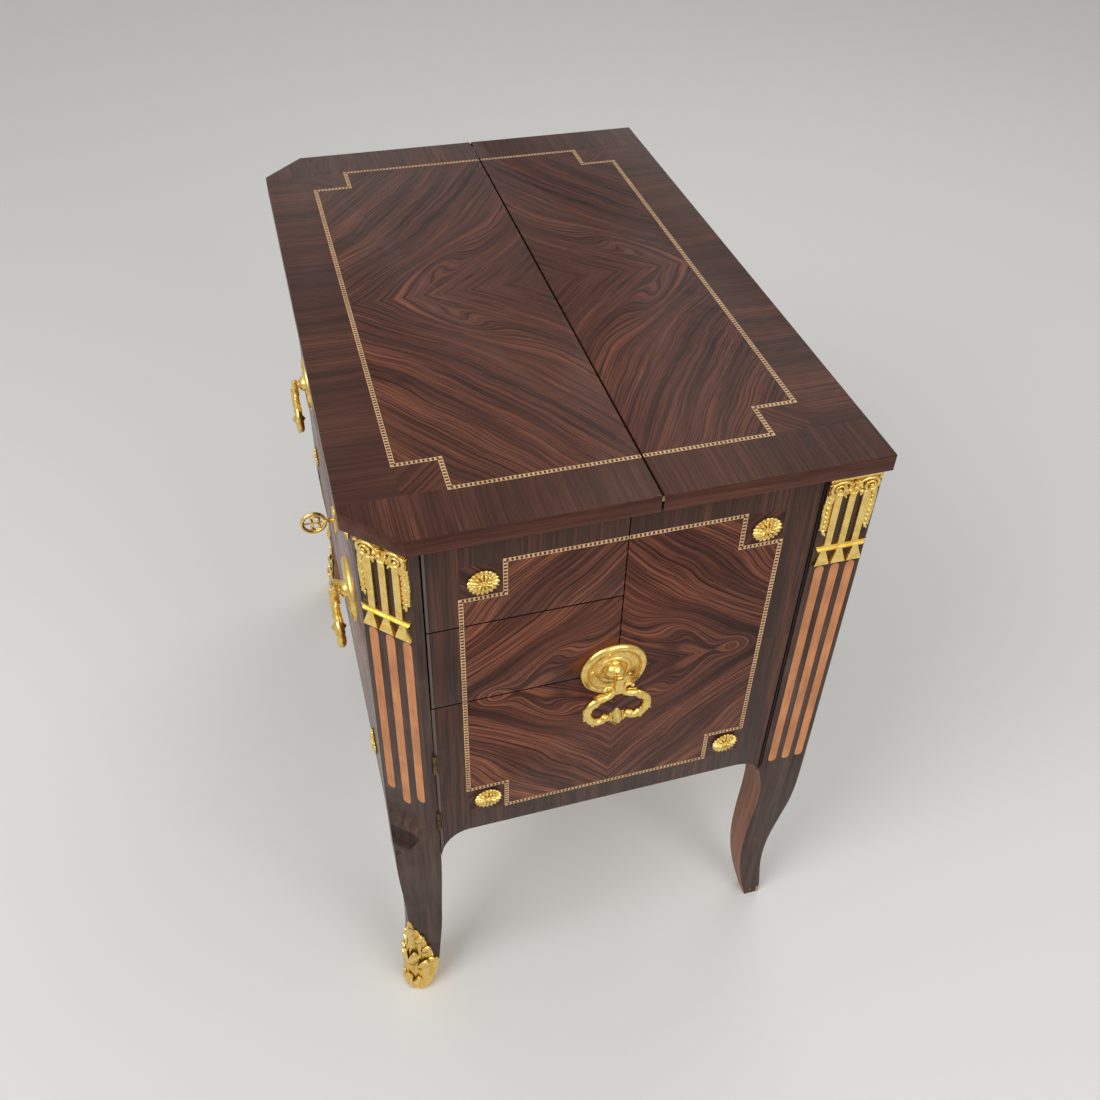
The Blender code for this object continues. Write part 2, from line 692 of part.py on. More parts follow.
def front_leg():
    """Square post and cabriole leg before the corner is canted."""
    knee = APRON_Z - BRACKET_DROP
    corner = [(0.0, -0.0050), (0.10, -0.0035), (0.30, 0.0055), (0.55, 0.0090), (0.80, 0.0070),
              (0.95, 0.0060), (1.10, 0.0060), (1.25, 0.0015), (1.35, 0.0)]
    inner_x = [(0.0, 0.0160), (0.15, 0.0090), (0.35, 0.0), (0.60, -0.0035), (0.85, -0.0015), (1.0, 0.0),
               (1.35, 0.0)]
    inner_y = [(0.0, 0.0190), (0.18, 0.0120), (0.40, 0.0050), (0.62, 0.0025), (0.85, 0.0006), (1.0, 0.0),
               (1.35, 0.0)]
    rings = []
    steps = 18
    for i in range(steps + 1):
        t = 1.35 * i / steps
        z = t * knee
        inset = eased(corner, t) * LEG_INSET / 0.006
        x0 = POST_X + eased(inner_x, t)
        y1 = SEAM_Y - RUN - eased(inner_y, t)
        x1 = BODY_X - inset
        y0 = BODY_FRONT + inset
        rings.append([(x0, y0, z), (x1, y0, z), (x1, y1, z), (x0, y1, z)])
    rings.append([(x, y, DOOR_TOP) for x, y, _ in rings[-1]])
    return rings


def canted_corner():
    """Cutter for the cant, with a slope at its foot where it dies into the square leg."""
    foot = APRON_Z + TONGUE_ABOVE_LEG
    run = CANT / math.sqrt(2) * 0.7
    half = CANT
    triangle = []
    for along, out in ((-half, 0.0), (half, 0.0), (half, half), (-half, half)):
        place = CANT_MIDDLE + CANT_ALONG * along + CANT_NORMAL * out
        triangle.append((place, foot - out * TONGUE_RISE / run))
    return loft([[(p.x, p.y, z) for p, z in triangle], [(p.x, p.y, HEIGHT) for p, _ in triangle]])


def sabot_plane():
    """Slanted plane where the wood ends and the gilt shoe begins."""
    tip = Vector((BODY_X, BODY_FRONT, SABOT_TIP))
    heel = Vector((POST_X, SEAM_Y, SABOT_HEEL))
    slope = (tip - heel).normalized()
    side = Vector((1.0, 1.0, 0.0)).normalized()
    normal = slope.cross(side)
    return (tip + heel) / 2, normal if normal.z > 0 else -normal


def front_post():
    """Canted post that runs down into the leg, cut off above the shoe."""
    place, up = sabot_plane()
    leg = halved(loft(front_leg()), place, -up)
    leg = combined(leg, canted_corner())
    return combined(leg, hinge_bed(-1))


def sabot():
    """Cast shoe round the toe, a little prouder than the wood."""
    place, up = sabot_plane()
    rings = []
    for ring in front_leg():
        middle = sum((Vector(p) for p in ring), Vector()) / len(ring)
        grown = []
        for p in ring:
            away = Vector(p) - middle
            grown.append(Vector(p) + Vector((math.copysign(SABOT_PROUD, away.x),
                                             math.copysign(SABOT_PROUD, away.y), 0.0)))
        rings.append(grown)
    return halved(loft(rings), place - up * GAP, up)


def door_panel(side):
    """Veneered front board of one door."""
    inner = RUN
    outer = POST_X - GAP
    outline = [(inner, APRON_Z), (inner, DOOR_TOP), (outer, DOOR_TOP)]
    outline += bracket((outer, APRON_Z), BRACKET_RUN, BRACKET_DROP, 1)[::-1]
    panel = board([outline], PANEL, front_frame(BODY_FRONT + PANEL / 2))
    if side > 0:
        hole = rod((KEY_X, BODY_FRONT - EPS, KEY_Z), (KEY_X, DOOR_BACK + EPS, KEY_Z), KEY_SHANK * 1.5)
        panel = combined(panel, hole)
    places = ((ROSETTE_DOOR_X, ROSETTE_LOW_Z), (ROSETTE_DOOR_X, ROSETTE_HIGH_Z))
    return sided(with_rosettes(panel, front_frame(BODY_FRONT), places), side)


def build_doors():
    """Door boards, canted posts with legs, shoes and hinges of both sides."""
    for hand, side in SIDES:
        body = DOORS[hand]
        add(f"{hand}_door_panel", door_panel(side), VENEER, body)
        add(f"{hand}_front_post", sided(front_post(), side), POSTWOOD, body)
        add(f"{hand}_front_sabot", sided(sabot(), side), GILT, body)
        for place, z in zip(("upper", "lower"), hinge_heights()):
            add(f"{hand}_{place}_hinge_case_flap", sided(hinge_parts(z, False), side), BRASS, CASE)
            add(f"{hand}_{place}_hinge_door_flap", sided(hinge_parts(z, True), side), BRASS, body)


# Drawers

def drawer_front(low, high, places, side):
    """Veneered end board of a drawer."""
    board_y = (SEAM_Y + 2 * RUN, SPLIT_Y - RUN)
    front = slab((INNER_X, BODY_X), board_y, (low, high))
    return sided(with_rosettes(front, side_frame(BODY_X), places), side)


def drawer_box(low, high, side):
    """Open tray behind the front."""
    x = (RUN, INNER_X - GAP)
    y = (INNER_FRONT + INNER_BOARD + DRAWER_SIDE_CLEAR, PARTITION_Y - DRAWER_SIDE_CLEAR)
    tray = slab(x, y, (low, high))
    hollow = slab((x[0] + DRAWER_WALL, x[1] - DRAWER_WALL), (y[0] + DRAWER_WALL, y[1] - DRAWER_WALL),
                  (low + DRAWER_BOTTOM, high + EPS))
    return sided(combined(tray, hollow), side)


def build_drawers():
    """Two drawers in each end, the lower one behind the round handle plate."""
    for hand, side in SIDES:
        upper_top = BED_UNDER - DRAWER_HEADROOM
        lower_top = UPPER_CUT_Z - DECK - DRAWER_HEADROOM
        rosette = ((ROSETTE_NEAR_Y, ROSETTE_HIGH_Z),)
        add(f"{hand}_upper_drawer_front", drawer_front(UPPER_CUT_Z + RUN, DOOR_TOP, rosette, side),
            VENEER, UPPER[hand])
        add(f"{hand}_upper_drawer_box", drawer_box(UPPER_CUT_Z + GAP, upper_top, side), CARCASS,
            UPPER[hand])
        add(f"{hand}_lower_drawer_front", drawer_front(LOWER_CUT_Z + RUN, UPPER_CUT_Z - RUN, (), side),
            VENEER, LOWER[hand])
        add(f"{hand}_lower_drawer_box", drawer_box(LOWER_CUT_Z + GAP, lower_top, side), CARCASS,
            LOWER[hand])


# Mounts and handles

def handle_plate(frame):
    """Dished round plate with a conical boss and a square lug that holds the bail."""
    r, b = PLATE_RADIUS, BOSS_RADIUS
    profile = [(0.0, BOSS_HEIGHT), (b * 0.45, BOSS_HEIGHT - 0.001), (b, 0.0066), (b * 1.05, 0.0044),
               (r * 0.46, 0.0040), (r * 0.50, 0.0026), (r * 0.70, 0.0030), (r * 0.78, 0.0056),
               (r * 0.94, 0.0060), (r, 0.0030), (r, 0.0), (0.0, 0.0)]
    plate = turned(profile, frame, 28)
    half = LUG_WIDTH / 2
    lug = slab((-half, half), (-LUG_DROP, LUG_RISE), (BOSS_HEIGHT * 0.75, PIVOT_OUT + half))
    plate = combined(plate, moved(lug, frame), "UNION")
    ends = [frame @ Vector((s * LUG_WIDTH, -PIVOT_DROP, PIVOT_OUT)) for s in (-1, 1)]
    return combined(plate, rod(*ends, BAIL_PIN + GAP, 10))


def bail(frame):
    """Drop handle with a knop and two hooked scrolls, hung on pins that enter the lug."""
    half = BAIL_WIDTH / 2 - BAIL_WIRE * 1.1
    neck = LUG_WIDTH / 2 + BAIL_WIRE + GAP
    low = -BAIL_DROP + BAIL_WIRE
    arm = [(LUG_WIDTH * 0.3, 0.0, BAIL_PIN), (neck - BAIL_WIRE / 2, 0.0, BAIL_PIN)]
    sweep = ((0.0, 0.02, 0.90), (0.06, 0.10, 0.90), (0.22, 0.175, 0.90), (0.62, 0.265, 1.0),
             (0.90, 0.40, 1.1), (1.0, 0.58, 1.1), (0.95, 0.77, 1.1), (0.72, 0.94, 1.1), (0.42, 1.0, 1.0),
             (0.16, 0.96, 0.8), (0.02, 0.96, 0.8))
    for across, down, swell in sweep:
        arm.append((neck + (half - neck) * across, low * down, BAIL_WIRE * swell))
    block = [(-BAIL_KNOP * 0.6, BAIL_KNOP * 0.7), (0.0, BAIL_KNOP), (BAIL_KNOP * 0.6, BAIL_KNOP * 0.7)]
    knots = [((-u, v, 0.0), r) for u, v, r in arm]
    knots += [((u, low, 0.0), r) for u, r in block]
    knots += [((u, v, 0.0), r) for u, v, r in reversed(arm)]
    place = frame @ Matrix.Translation((0.0, -PIVOT_DROP, PIVOT_OUT))
    solid = wire(knots, place)
    curl = BAIL_WIRE * 1.2
    for s in (1, -1):
        turn = arc((s * (neck + curl), curl), (s * curl, curl), 215.0, -20.0, 8)
        taper = [BAIL_WIRE * (0.85 - 0.02 * i) for i in range(len(turn))]
        hook = wire([((u, v, 0.0), r) for (u, v), r in zip(turn, taper)], place)
        solid = combined(solid, hook, "UNION")
    return solid


def chute(frame):
    """Triglyph mount: band and side drops, three bars over a fillet, three drops below."""
    half = CHUTE_WIDTH / 2
    top = CHUTE_HEIGHT
    band = top * 0.80
    drop_in = half * 0.76
    drop_end = top * 0.36
    bar_out = half * 0.68
    bar_in = half * 0.40
    core = half * 0.14
    fillet_top = top * 0.265
    fillet_low = top * 0.215
    fillet_out = half * 0.92
    right = [(0.0, top), (half, top), (half, drop_end), (drop_in, drop_end), (drop_in, band),
             (bar_out, band), (bar_out, fillet_top), (fillet_out, fillet_top), (fillet_out, fillet_low)]
    pitch = half * 0.56
    head, foot = pitch * 0.22, pitch * 0.46
    for centre in (pitch, 0.0):
        right += [(centre + head, fillet_low), (centre + foot, 0.0)]
        if centre > 0.0:
            right += [(centre - foot, 0.0), (centre - head, fillet_low)]
    outline = right + [(-u, v) for u, v in reversed(right[1:])]
    slots = []
    for s in (1, -1):
        slots.append([(s * core, fillet_top), (s * bar_in, fillet_top), (s * bar_in, band),
                      (s * core, band)])
    return board([outline, *slots], CHUTE_THICKNESS, frame)


def build_mounts():
    """Gilt corner mounts, handle plates and bails."""
    chute_z = TOP_UNDER - CHUTE_BELOW_TOP - CHUTE_HEIGHT
    outward = GAP + CHUTE_THICKNESS / 2
    rear_face = seated(side_frame(BODY_X + outward), (REAR_SEAM_Y + BODY_REAR) / 2, chute_z)
    for hand, side in SIDES:
        add(f"{hand}_front_chute", sided(chute(cant_frame(outward, chute_z)), side), GILT, DOORS[hand])
        add(f"{hand}_rear_chute", sided(chute(rear_face), side), GILT, CASE)
        build_handles(hand, side)


def build_handles(hand, side):
    """Round plate and bail on the lower drawer, and the pull on the door."""
    side_face = side_frame(BODY_X + GAP)
    front_face = front_frame(BODY_FRONT - GAP)
    for name, face, at, body in (
            (f"{hand}_handle", side_face, (SPLIT_Y - PLATE_SHIFT, LOWER_CUT_Z + PLATE_RISE), LOWER[hand]),
            (f"{hand}_door_pull", front_face, (PULL_X, PULL_Z), DOORS[hand])):
        frame = seated(face, *at)
        add(f"{name}_plate", sided(handle_plate(frame), side), GILT, body)
        axis = frame @ Vector((0.0, -PIVOT_DROP, PIVOT_OUT))
        swing = pivot(f"{name}_swing", (side * axis.x, axis.y, axis.z), body)
        add(f"{name}_bail", sided(bail(frame), side), GILT, swing)


# Lock

def key_solid():
    """Key with a pierced bow, a collar and a straight shank."""
    outer = BODY_FRONT - KEY_REACH
    bow_y = outer + KEY_BOW_RADIUS
    rim = circle((bow_y, KEY_Z), KEY_BOW_RADIUS, 20)
    holes = []
    for i in range(3):
        angle = math.radians(90.0 + 120.0 * i)
        centre = (bow_y + KEY_BOW_RADIUS * 0.45 * math.sin(angle),
                  KEY_Z + KEY_BOW_RADIUS * 0.45 * math.cos(angle))
        holes.append(circle(centre, KEY_BOW_RADIUS * 0.30, 10))
    bow = board([rim, *holes], KEY_SHANK * 1.4, side_frame(KEY_X))
    neck = bow_y + KEY_BOW_RADIUS * 0.9
    shank = rod((KEY_X, neck, KEY_Z), (KEY_X, DOOR_BACK - GAP, KEY_Z), KEY_SHANK)
    collar = rod((KEY_X, neck + 0.0015, KEY_Z), (KEY_X, neck + 0.0045, KEY_Z), KEY_SHANK * 1.9)
    return combined(combined(bow, shank, "UNION"), collar, "UNION")


def build_lock():
    """Rim lock on the right door, its keeper on the left one, and the key."""
    right = DOORS["right"]
    case_x = (2 * RUN, 2 * RUN + LOCK_LENGTH)
    case_y = (DOOR_BACK + GAP, DOOR_BACK + GAP + LOCK_DEPTH)
    case_z = (KEY_Z - LOCK_HEIGHT / 2, KEY_Z + LOCK_HEIGHT / 2)
    bolt_y = (case_y[0] + LOCK_DEPTH / 2 - BOLT_DEPTH / 2, case_y[0] + LOCK_DEPTH / 2 + BOLT_DEPTH / 2)
    bolt_z = (KEY_Z - BOLT_HEIGHT / 2, KEY_Z + BOLT_HEIGHT / 2)

    def grown(pair, clear=GAP):
        """Bolt's slot on one axis, wider than the bolt."""
        return (pair[0] - clear, pair[1] + clear)

    slot = slab((case_x[0] - EPS, case_x[0] + BOLT_LENGTH + GAP), grown(bolt_y), grown(bolt_z))
    add("lock_case", combined(slab(case_x, case_y, case_z), slot), STEEL, right)
    bolt_x = (case_x[0], case_x[0] + BOLT_LENGTH)
    bolt_slide = pivot("lock_bolt_slide", (case_x[0], bolt_y[0], KEY_Z), right)
    add("lock_bolt", slab(bolt_x, bolt_y, bolt_z), STEEL, bolt_slide)
    keeper_x = (-2 * RUN - KEEPER_LENGTH, -2 * RUN)
    keeper = slab(keeper_x, case_y, (bolt_z[0] - LOCK_DEPTH / 2, bolt_z[1] + LOCK_DEPTH / 2))
    hole = slab((keeper_x[0] - EPS, keeper_x[1] + EPS), grown(bolt_y, KEEPER_CLEAR),
                grown(bolt_z, KEEPER_CLEAR))
    add("lock_keeper", combined(keeper, hole), STEEL, DOORS["left"])
    shield = arc((KEY_X, KEY_Z), (0.012, 0.021), 0.0, 360.0, 20)[:-1]
    opening = circle((KEY_X, KEY_Z), KEY_SHANK * 1.5, 12)
    add("key_escutcheon", board([shield, opening], 0.002, front_frame(BODY_FRONT - GAP - 0.001)), GILT,
        right)
    turn = pivot("key_turn", (KEY_X, BODY_FRONT, KEY_Z), right)
    add("key", key_solid(), GILT, turn)


build_top()
build_case()
build_doors()
build_drawers()
build_mounts()
build_lock()
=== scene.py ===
"""Looks of a convertible writing desk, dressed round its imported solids.

The desk is veneered with book-matched kingwood inside dotted stringing and has
canted posts, gilt mounts and ring handles. Sizes are in metres. X runs along
the width, Y from front to back and Z up, as in the solids.
"""
from __future__ import annotations

import json
import logging
import math
from dataclasses import dataclass, field, replace
from enum import Enum
from typing import Callable, Iterable, Sequence

import bmesh
import bpy
from mathutils import Matrix, Vector

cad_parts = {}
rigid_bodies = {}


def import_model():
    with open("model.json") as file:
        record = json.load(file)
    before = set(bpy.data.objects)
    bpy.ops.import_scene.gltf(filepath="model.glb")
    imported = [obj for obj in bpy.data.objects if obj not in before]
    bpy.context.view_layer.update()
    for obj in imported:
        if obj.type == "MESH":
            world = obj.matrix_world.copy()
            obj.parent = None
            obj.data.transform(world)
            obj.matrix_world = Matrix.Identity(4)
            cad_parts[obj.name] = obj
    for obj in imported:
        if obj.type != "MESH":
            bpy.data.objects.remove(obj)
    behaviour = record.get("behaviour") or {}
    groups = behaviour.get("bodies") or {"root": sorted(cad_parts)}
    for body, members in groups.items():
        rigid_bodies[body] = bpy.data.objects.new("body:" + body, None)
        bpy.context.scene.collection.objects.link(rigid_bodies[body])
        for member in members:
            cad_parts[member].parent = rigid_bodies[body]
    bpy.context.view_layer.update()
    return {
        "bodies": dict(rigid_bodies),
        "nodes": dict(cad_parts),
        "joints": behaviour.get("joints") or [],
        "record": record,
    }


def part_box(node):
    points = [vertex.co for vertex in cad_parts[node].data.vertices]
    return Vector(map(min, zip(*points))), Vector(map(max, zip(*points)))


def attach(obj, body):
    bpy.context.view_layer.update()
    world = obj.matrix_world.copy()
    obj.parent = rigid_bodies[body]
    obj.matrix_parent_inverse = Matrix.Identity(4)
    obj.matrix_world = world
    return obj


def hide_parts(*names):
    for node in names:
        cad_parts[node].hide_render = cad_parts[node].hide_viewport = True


LOG = logging.getLogger("desk")
MM = 0.001
Point2 = tuple[float, float]
Point3 = tuple[float, float, float]
Colour = tuple[float, float, float]
Tones = tuple[tuple[float, Colour], ...]
Stations = tuple[Point2, ...]
Box = tuple[Vector, Vector]
Socket = bpy.types.NodeSocket
Material = bpy.types.Material
Mesh = bpy.types.Mesh
Piece = bpy.types.Object

TOP = 0.800
TOP_UNDER = 0.781
HALF_W = 0.390
HALF_D = 0.261
BODY_X = 0.378
BODY_FRONT = -0.249
SEAM_Y = -0.197
REAR_SEAM_Y = 0.200
POST_X = 0.335
REAR_POST_X = 0.333
APRON_Z = 0.327
DOOR_TOP = 0.780
CANT = 0.043
LEAF_FRONT_EDGE = 0.02375
LEAF_REAR_EDGE = 0.02625
BOARD = 0.018
TOP_FIELD = (0.331, 0.2025)
TOP_NOTCH = 0.044
END_FIELD = (0.162, 0.1925)
FRONT_FIELD = (0.292, 0.1925)
FIELD_Z = 0.5515
MATCH_Z = 0.554
NOTCH = 0.043
BRACKET_RUN = 0.034
FRONT_DROP = 0.045
REAR_DROP = 0.0225
BEAD_GROOVE = 2.6 * MM
ROSETTE_ROWS = {"low": 0.381, "high": 0.722}
HANDLE_SPOT = (-0.0045, 0.5605)
PULL_SPOT = (0.200, 0.565)
KEY_SPOT = (0.030, 0.517)
MOUNT_FOOT = 0.658
TIERS = ("upper", "lower")
FLAPS = ("case_flap", "door_flap")


class NodeKit:
    """Node tree with the call that adds a node to it, and its short form for Math nodes."""

    def __init__(self, tree: bpy.types.NodeTree) -> None:
        """Keep the tree."""
        self.tree = tree

    def node(self, kind: str, settings: dict[str, object] | None = None,
             sockets: dict[int | str, object] | None = None) -> bpy.types.Node:
        """Add a node.

        Args:
            kind: Blender's type name of the node.
            settings: Its properties, set first; "stops" holds a ramp's stops.
            sockets: Values or links of its inputs, by name or place.

        Returns:
            The new node.
        """
        node = self.tree.nodes.new(kind)
        for key, setting in (settings or {}).items():
            if key == "stops":
                self._set_stops(node, setting)
            else:
                setattr(node, key, setting)
        for key, value in (sockets or {}).items():
            self.feed(node.inputs[key], value)
        return node

    def math(self, operation: str, *terms: Value | float) -> Value:
        """Result of a Math node."""
        return Value(self, self.node("ShaderNodeMath", {"operation": operation},
                                     dict(enumerate(terms))).outputs[0])

    def feed(self, socket: Socket, value: object) -> None:
        """Link a socket to another one, or set its value."""
        if isinstance(value, Value):
            value = value.socket
        if isinstance(value, Socket):
            self.tree.links.new(value, socket)
        elif isinstance(value, tuple) and socket.type == "RGBA":
            socket.default_value = (*value, 1.0)
        else:
            socket.default_value = value

    @staticmethod
    def _set_stops(node: bpy.types.Node, stops: Tones) -> None:
        """Give a colour ramp its stops, from dark end to light end."""
        elements = node.color_ramp.elements
        while len(elements) < len(stops):
            elements.new(1.0)
        for element, (place, colour) in zip(elements, stops):
            element.position = place
            element.color = (*colour, 1.0)


class Value:
    """Number socket of a node tree that takes part in Python arithmetic."""

    def __init__(self, graph: NodeKit, socket: Socket) -> None:
        """Keep the socket and the tree it belongs to."""
        self.graph = graph
        self.socket = socket

    def __add__(self, other: Value | float) -> Value:
        """Sum."""
        return self.graph.math("ADD", self, other)

    __radd__ = __add__

    def __sub__(self, other: Value | float) -> Value:
        """Difference."""
        return self.graph.math("SUBTRACT", self, other)

    def __rsub__(self, other: float) -> Value:
        """Difference from a number."""
        return self.graph.math("SUBTRACT", other, self)

    def __mul__(self, other: Value | float) -> Value:
        """Product."""
        return self.graph.math("MULTIPLY", self, other)

    __rmul__ = __mul__

    def __truediv__(self, other: Value | float) -> Value:
        """Quotient."""
        return self.graph.math("DIVIDE", self, other)

    def __abs__(self) -> Value:
        """Size without sign."""
        return self.graph.math("ABSOLUTE", self)

    def __pow__(self, power: float) -> Value:
        """Power."""
        return self.graph.math("POWER", self, power)

    def above(self, limit: float) -> Value:
        """One where the value is above the limit, else zero."""
        return self.graph.math("GREATER_THAN", self, limit)

    def below(self, limit: float) -> Value:
        """One where the value is below the limit, else zero."""
        return self.graph.math("LESS_THAN", self, limit)

    def least(self, other: Value | float) -> Value:
        """Smaller of two values."""
        return self.graph.math("MINIMUM", self, other)

    def root(self) -> Value:
        """Square root."""
        return self.graph.math("SQRT", self)

    def bell(self, width: float) -> Value:
        """Bell curve of a distance, one in the middle."""
        return self.graph.math("EXPONENT", self * self * (-1.0 / width ** 2))

    def rise(self, low: float, high: float) -> Value:
        """Smooth step from zero at low to one at high."""
        step = self.graph.node("ShaderNodeMapRange", {"interpolation_type": "SMOOTHSTEP"},
                               {0: self, 1: low, 2: high})
        return Value(self.graph, step.outputs[0])


class Graph(NodeKit):
    """Node tree of one finish."""

    def __init__(self, name: str) -> None:
        """Make the material with its shader."""
        self.material = bpy.data.materials.new(name)
        self.material.use_nodes = True
        super().__init__(self.material.node_tree)
        self.shader = next(n for n in self.tree.nodes if n.type == "BSDF_PRINCIPLED")

    def place(self) -> tuple[Value, Value, Value]:
        """Object coordinates."""
        coordinates = self.node("ShaderNodeTexCoord").outputs["Object"]
        parts = self.node("ShaderNodeSeparateXYZ", sockets={0: coordinates}).outputs
        return Value(self, parts[0]), Value(self, parts[1]), Value(self, parts[2])

    def point(self, x: Value | float, y: Value | float, z: Value | float) -> Socket:
        """Vector from three numbers."""
        return self.node("ShaderNodeCombineXYZ", sockets={0: x, 1: y, 2: z}).outputs[0]

    def noise(self, at: Socket, scale: float = 1.0, detail: float = 2.0,
              roughness: float = 0.5) -> Value:
        """Noise between zero and one at a point."""
        return Value(self, self.node("ShaderNodeTexNoise", sockets={
            "Vector": at, "Scale": scale, "Detail": detail, "Roughness": roughness}).outputs[0])

    def cells(self, at: Socket, scale: float) -> Value:
        """Distance to the nearest cell centre."""
        return Value(self, self.node("ShaderNodeTexVoronoi", sockets={
            "Vector": at, "Scale": scale}).outputs[0])

    def attribute(self, name: str) -> Value:
        """Number that the mesh carries."""
        return Value(self, self.node("ShaderNodeAttribute", {"attribute_name": name}).outputs["Fac"])

    def ramp(self, factor: Value, stops: Tones) -> Socket:
        """Colour from a row of stops."""
        return self.node("ShaderNodeValToRGB", {"stops": stops}, {0: factor}).outputs[0]

    def mix(self, factor: Value | float, first: object, second: object) -> Socket:
        """Blend of two colours."""
        return self.node("ShaderNodeMix", {"data_type": "RGBA"}, {0: factor, 6: first, 7: second}).outputs[2]

    def bump(self, height: Value, depth: float) -> Socket:
        """Normal that follows a height map of the given depth."""
        return self.node("ShaderNodeBump", sockets={
            "Strength": 1.0, "Distance": depth, "Height": height}).outputs[0]

    def dress(self, sockets: dict[str, object]) -> Material:
        """Set the shader's sockets and hand the material over."""
        for name, value in sockets.items():
            self.feed(self.shader.inputs[name], value)
        return self.material


@dataclass(frozen=True)
class Finish:
    """Look that pieces share; its material is made at its first use."""

    name: str

    def material(self) -> Material:
        """Material of this finish."""
        return bpy.data.materials.get(self.name) or self.make(Graph(self.name))

    def make(self, graph: Graph) -> Material:
        """Build the nodes of the finish."""
        raise NotImplementedError


class Face(Enum):
    """Direction a veneered face looks in, as the two coordinates that lie in it."""

    TOP = (0, 1)
    END = (1, 2)
    FRONT = (0, 2)


class BandGrain(Enum):
    """How the grain of the crossbanding lies."""

    ACROSS = "across"
    UPRIGHT = "upright"


ROOT_HALF = math.sqrt(0.5)
JOINT_DARK = (0.008, 0.005, 0.004)
KINGWOOD: Tones = (
    (0.0, (0.016, 0.0064, 0.0052)), (0.25, (0.041, 0.0150, 0.0110)), (0.48, (0.100, 0.0355, 0.0245)),
    (0.68, (0.200, 0.0680, 0.0400)), (0.86, (0.340, 0.1200, 0.0660)), (1.0, (0.430, 0.170, 0.0950)))
POST_TONES: Tones = (
    (0.0, (0.019, 0.0105, 0.0080)), (0.35, (0.044, 0.0245, 0.0190)), (0.65, (0.084, 0.0475, 0.0360)),
    (1.0, (0.160, 0.0940, 0.0710)))


@dataclass(frozen=True)
class Grain:
    """Lines of a veneer: how close they lie and how far they wander."""

    broad: float = 20.0
    streak: float = 84.0
    line: float = 430.0
    fine: float = 820.0
    vein: float = 130.0
    pore: float = 1500.0
    ripple: float = 0.008
    level: float = 0.50
    contrast: float = 1.0
    tones: Tones = KINGWOOD

    def draw(self, graph: Graph, across: Value, along: Value,
             seed: Value | float, lift: Value | float) -> tuple[Socket, Value, Value]:
        """Draw the grain.

        Args:
            graph: Tree to add the nodes to.
            across: Coordinate across the grain.
            along: Coordinate along the grain.
            seed: Offset that tells one leaf of veneer from another.
            lift: Change of tone, brighter above zero.

        Returns:
            The colour, the tone between zero and one, and a mask of the pores.
        """
        wave = graph.noise(graph.point(across * 11.0, along * 6.5, seed), 1.0, 2.0)
        across = across + (wave - 0.5) * self.ripple
        broad = graph.noise(graph.point(across * self.broad, along * 1.6, seed), 1.0, 2.0, 0.55)
        streak = graph.noise(graph.point(across * self.streak, along * 2.6, seed + 7.0), 1.0, 3.0, 0.6)
        line = graph.noise(graph.point(across * self.line, along * 4.5, seed + 3.0), 1.0, 2.0, 0.6)
        fine = graph.noise(graph.point(across * self.fine, along * 14.0, seed + 11.0), 1.0, 2.0, 0.6)
        pore = graph.noise(graph.point(across * self.pore, along * 46.0, seed + 17.0), 1.0, 1.0)
        vein = graph.noise(graph.point(across * self.vein, along * 2.2, seed + 23.0), 1.0, 1.0)
        smudge = graph.noise(graph.point(across * 62.0, along * 11.0, seed + 29.0), 1.0, 2.0)
        tone = ((broad - 0.5) * 1.30 + (streak - 0.5) * 0.90) * self.contrast + (fine - 0.5) * 0.60 + self.level + lift
        lines = 1.0 - line.rise(0.42, 0.50)
        veins = 1.0 - vein.rise(0.33, 0.41)
        pores = pore.rise(0.60, 0.70)
        colour = graph.ramp(tone, self.tones)
        colour = graph.mix(lines * 0.74, colour, (0.020, 0.0080, 0.0062))
        colour = graph.mix(veins * 0.55, colour, (0.014, 0.0060, 0.0048))
        colour = graph.mix((1.0 - smudge.rise(0.30, 0.40)) * 0.50, colour, (0.012, 0.0065, 0.0055))
        colour = graph.mix(pores * 0.40, colour, (0.006, 0.003, 0.003))
        return colour, tone, pores


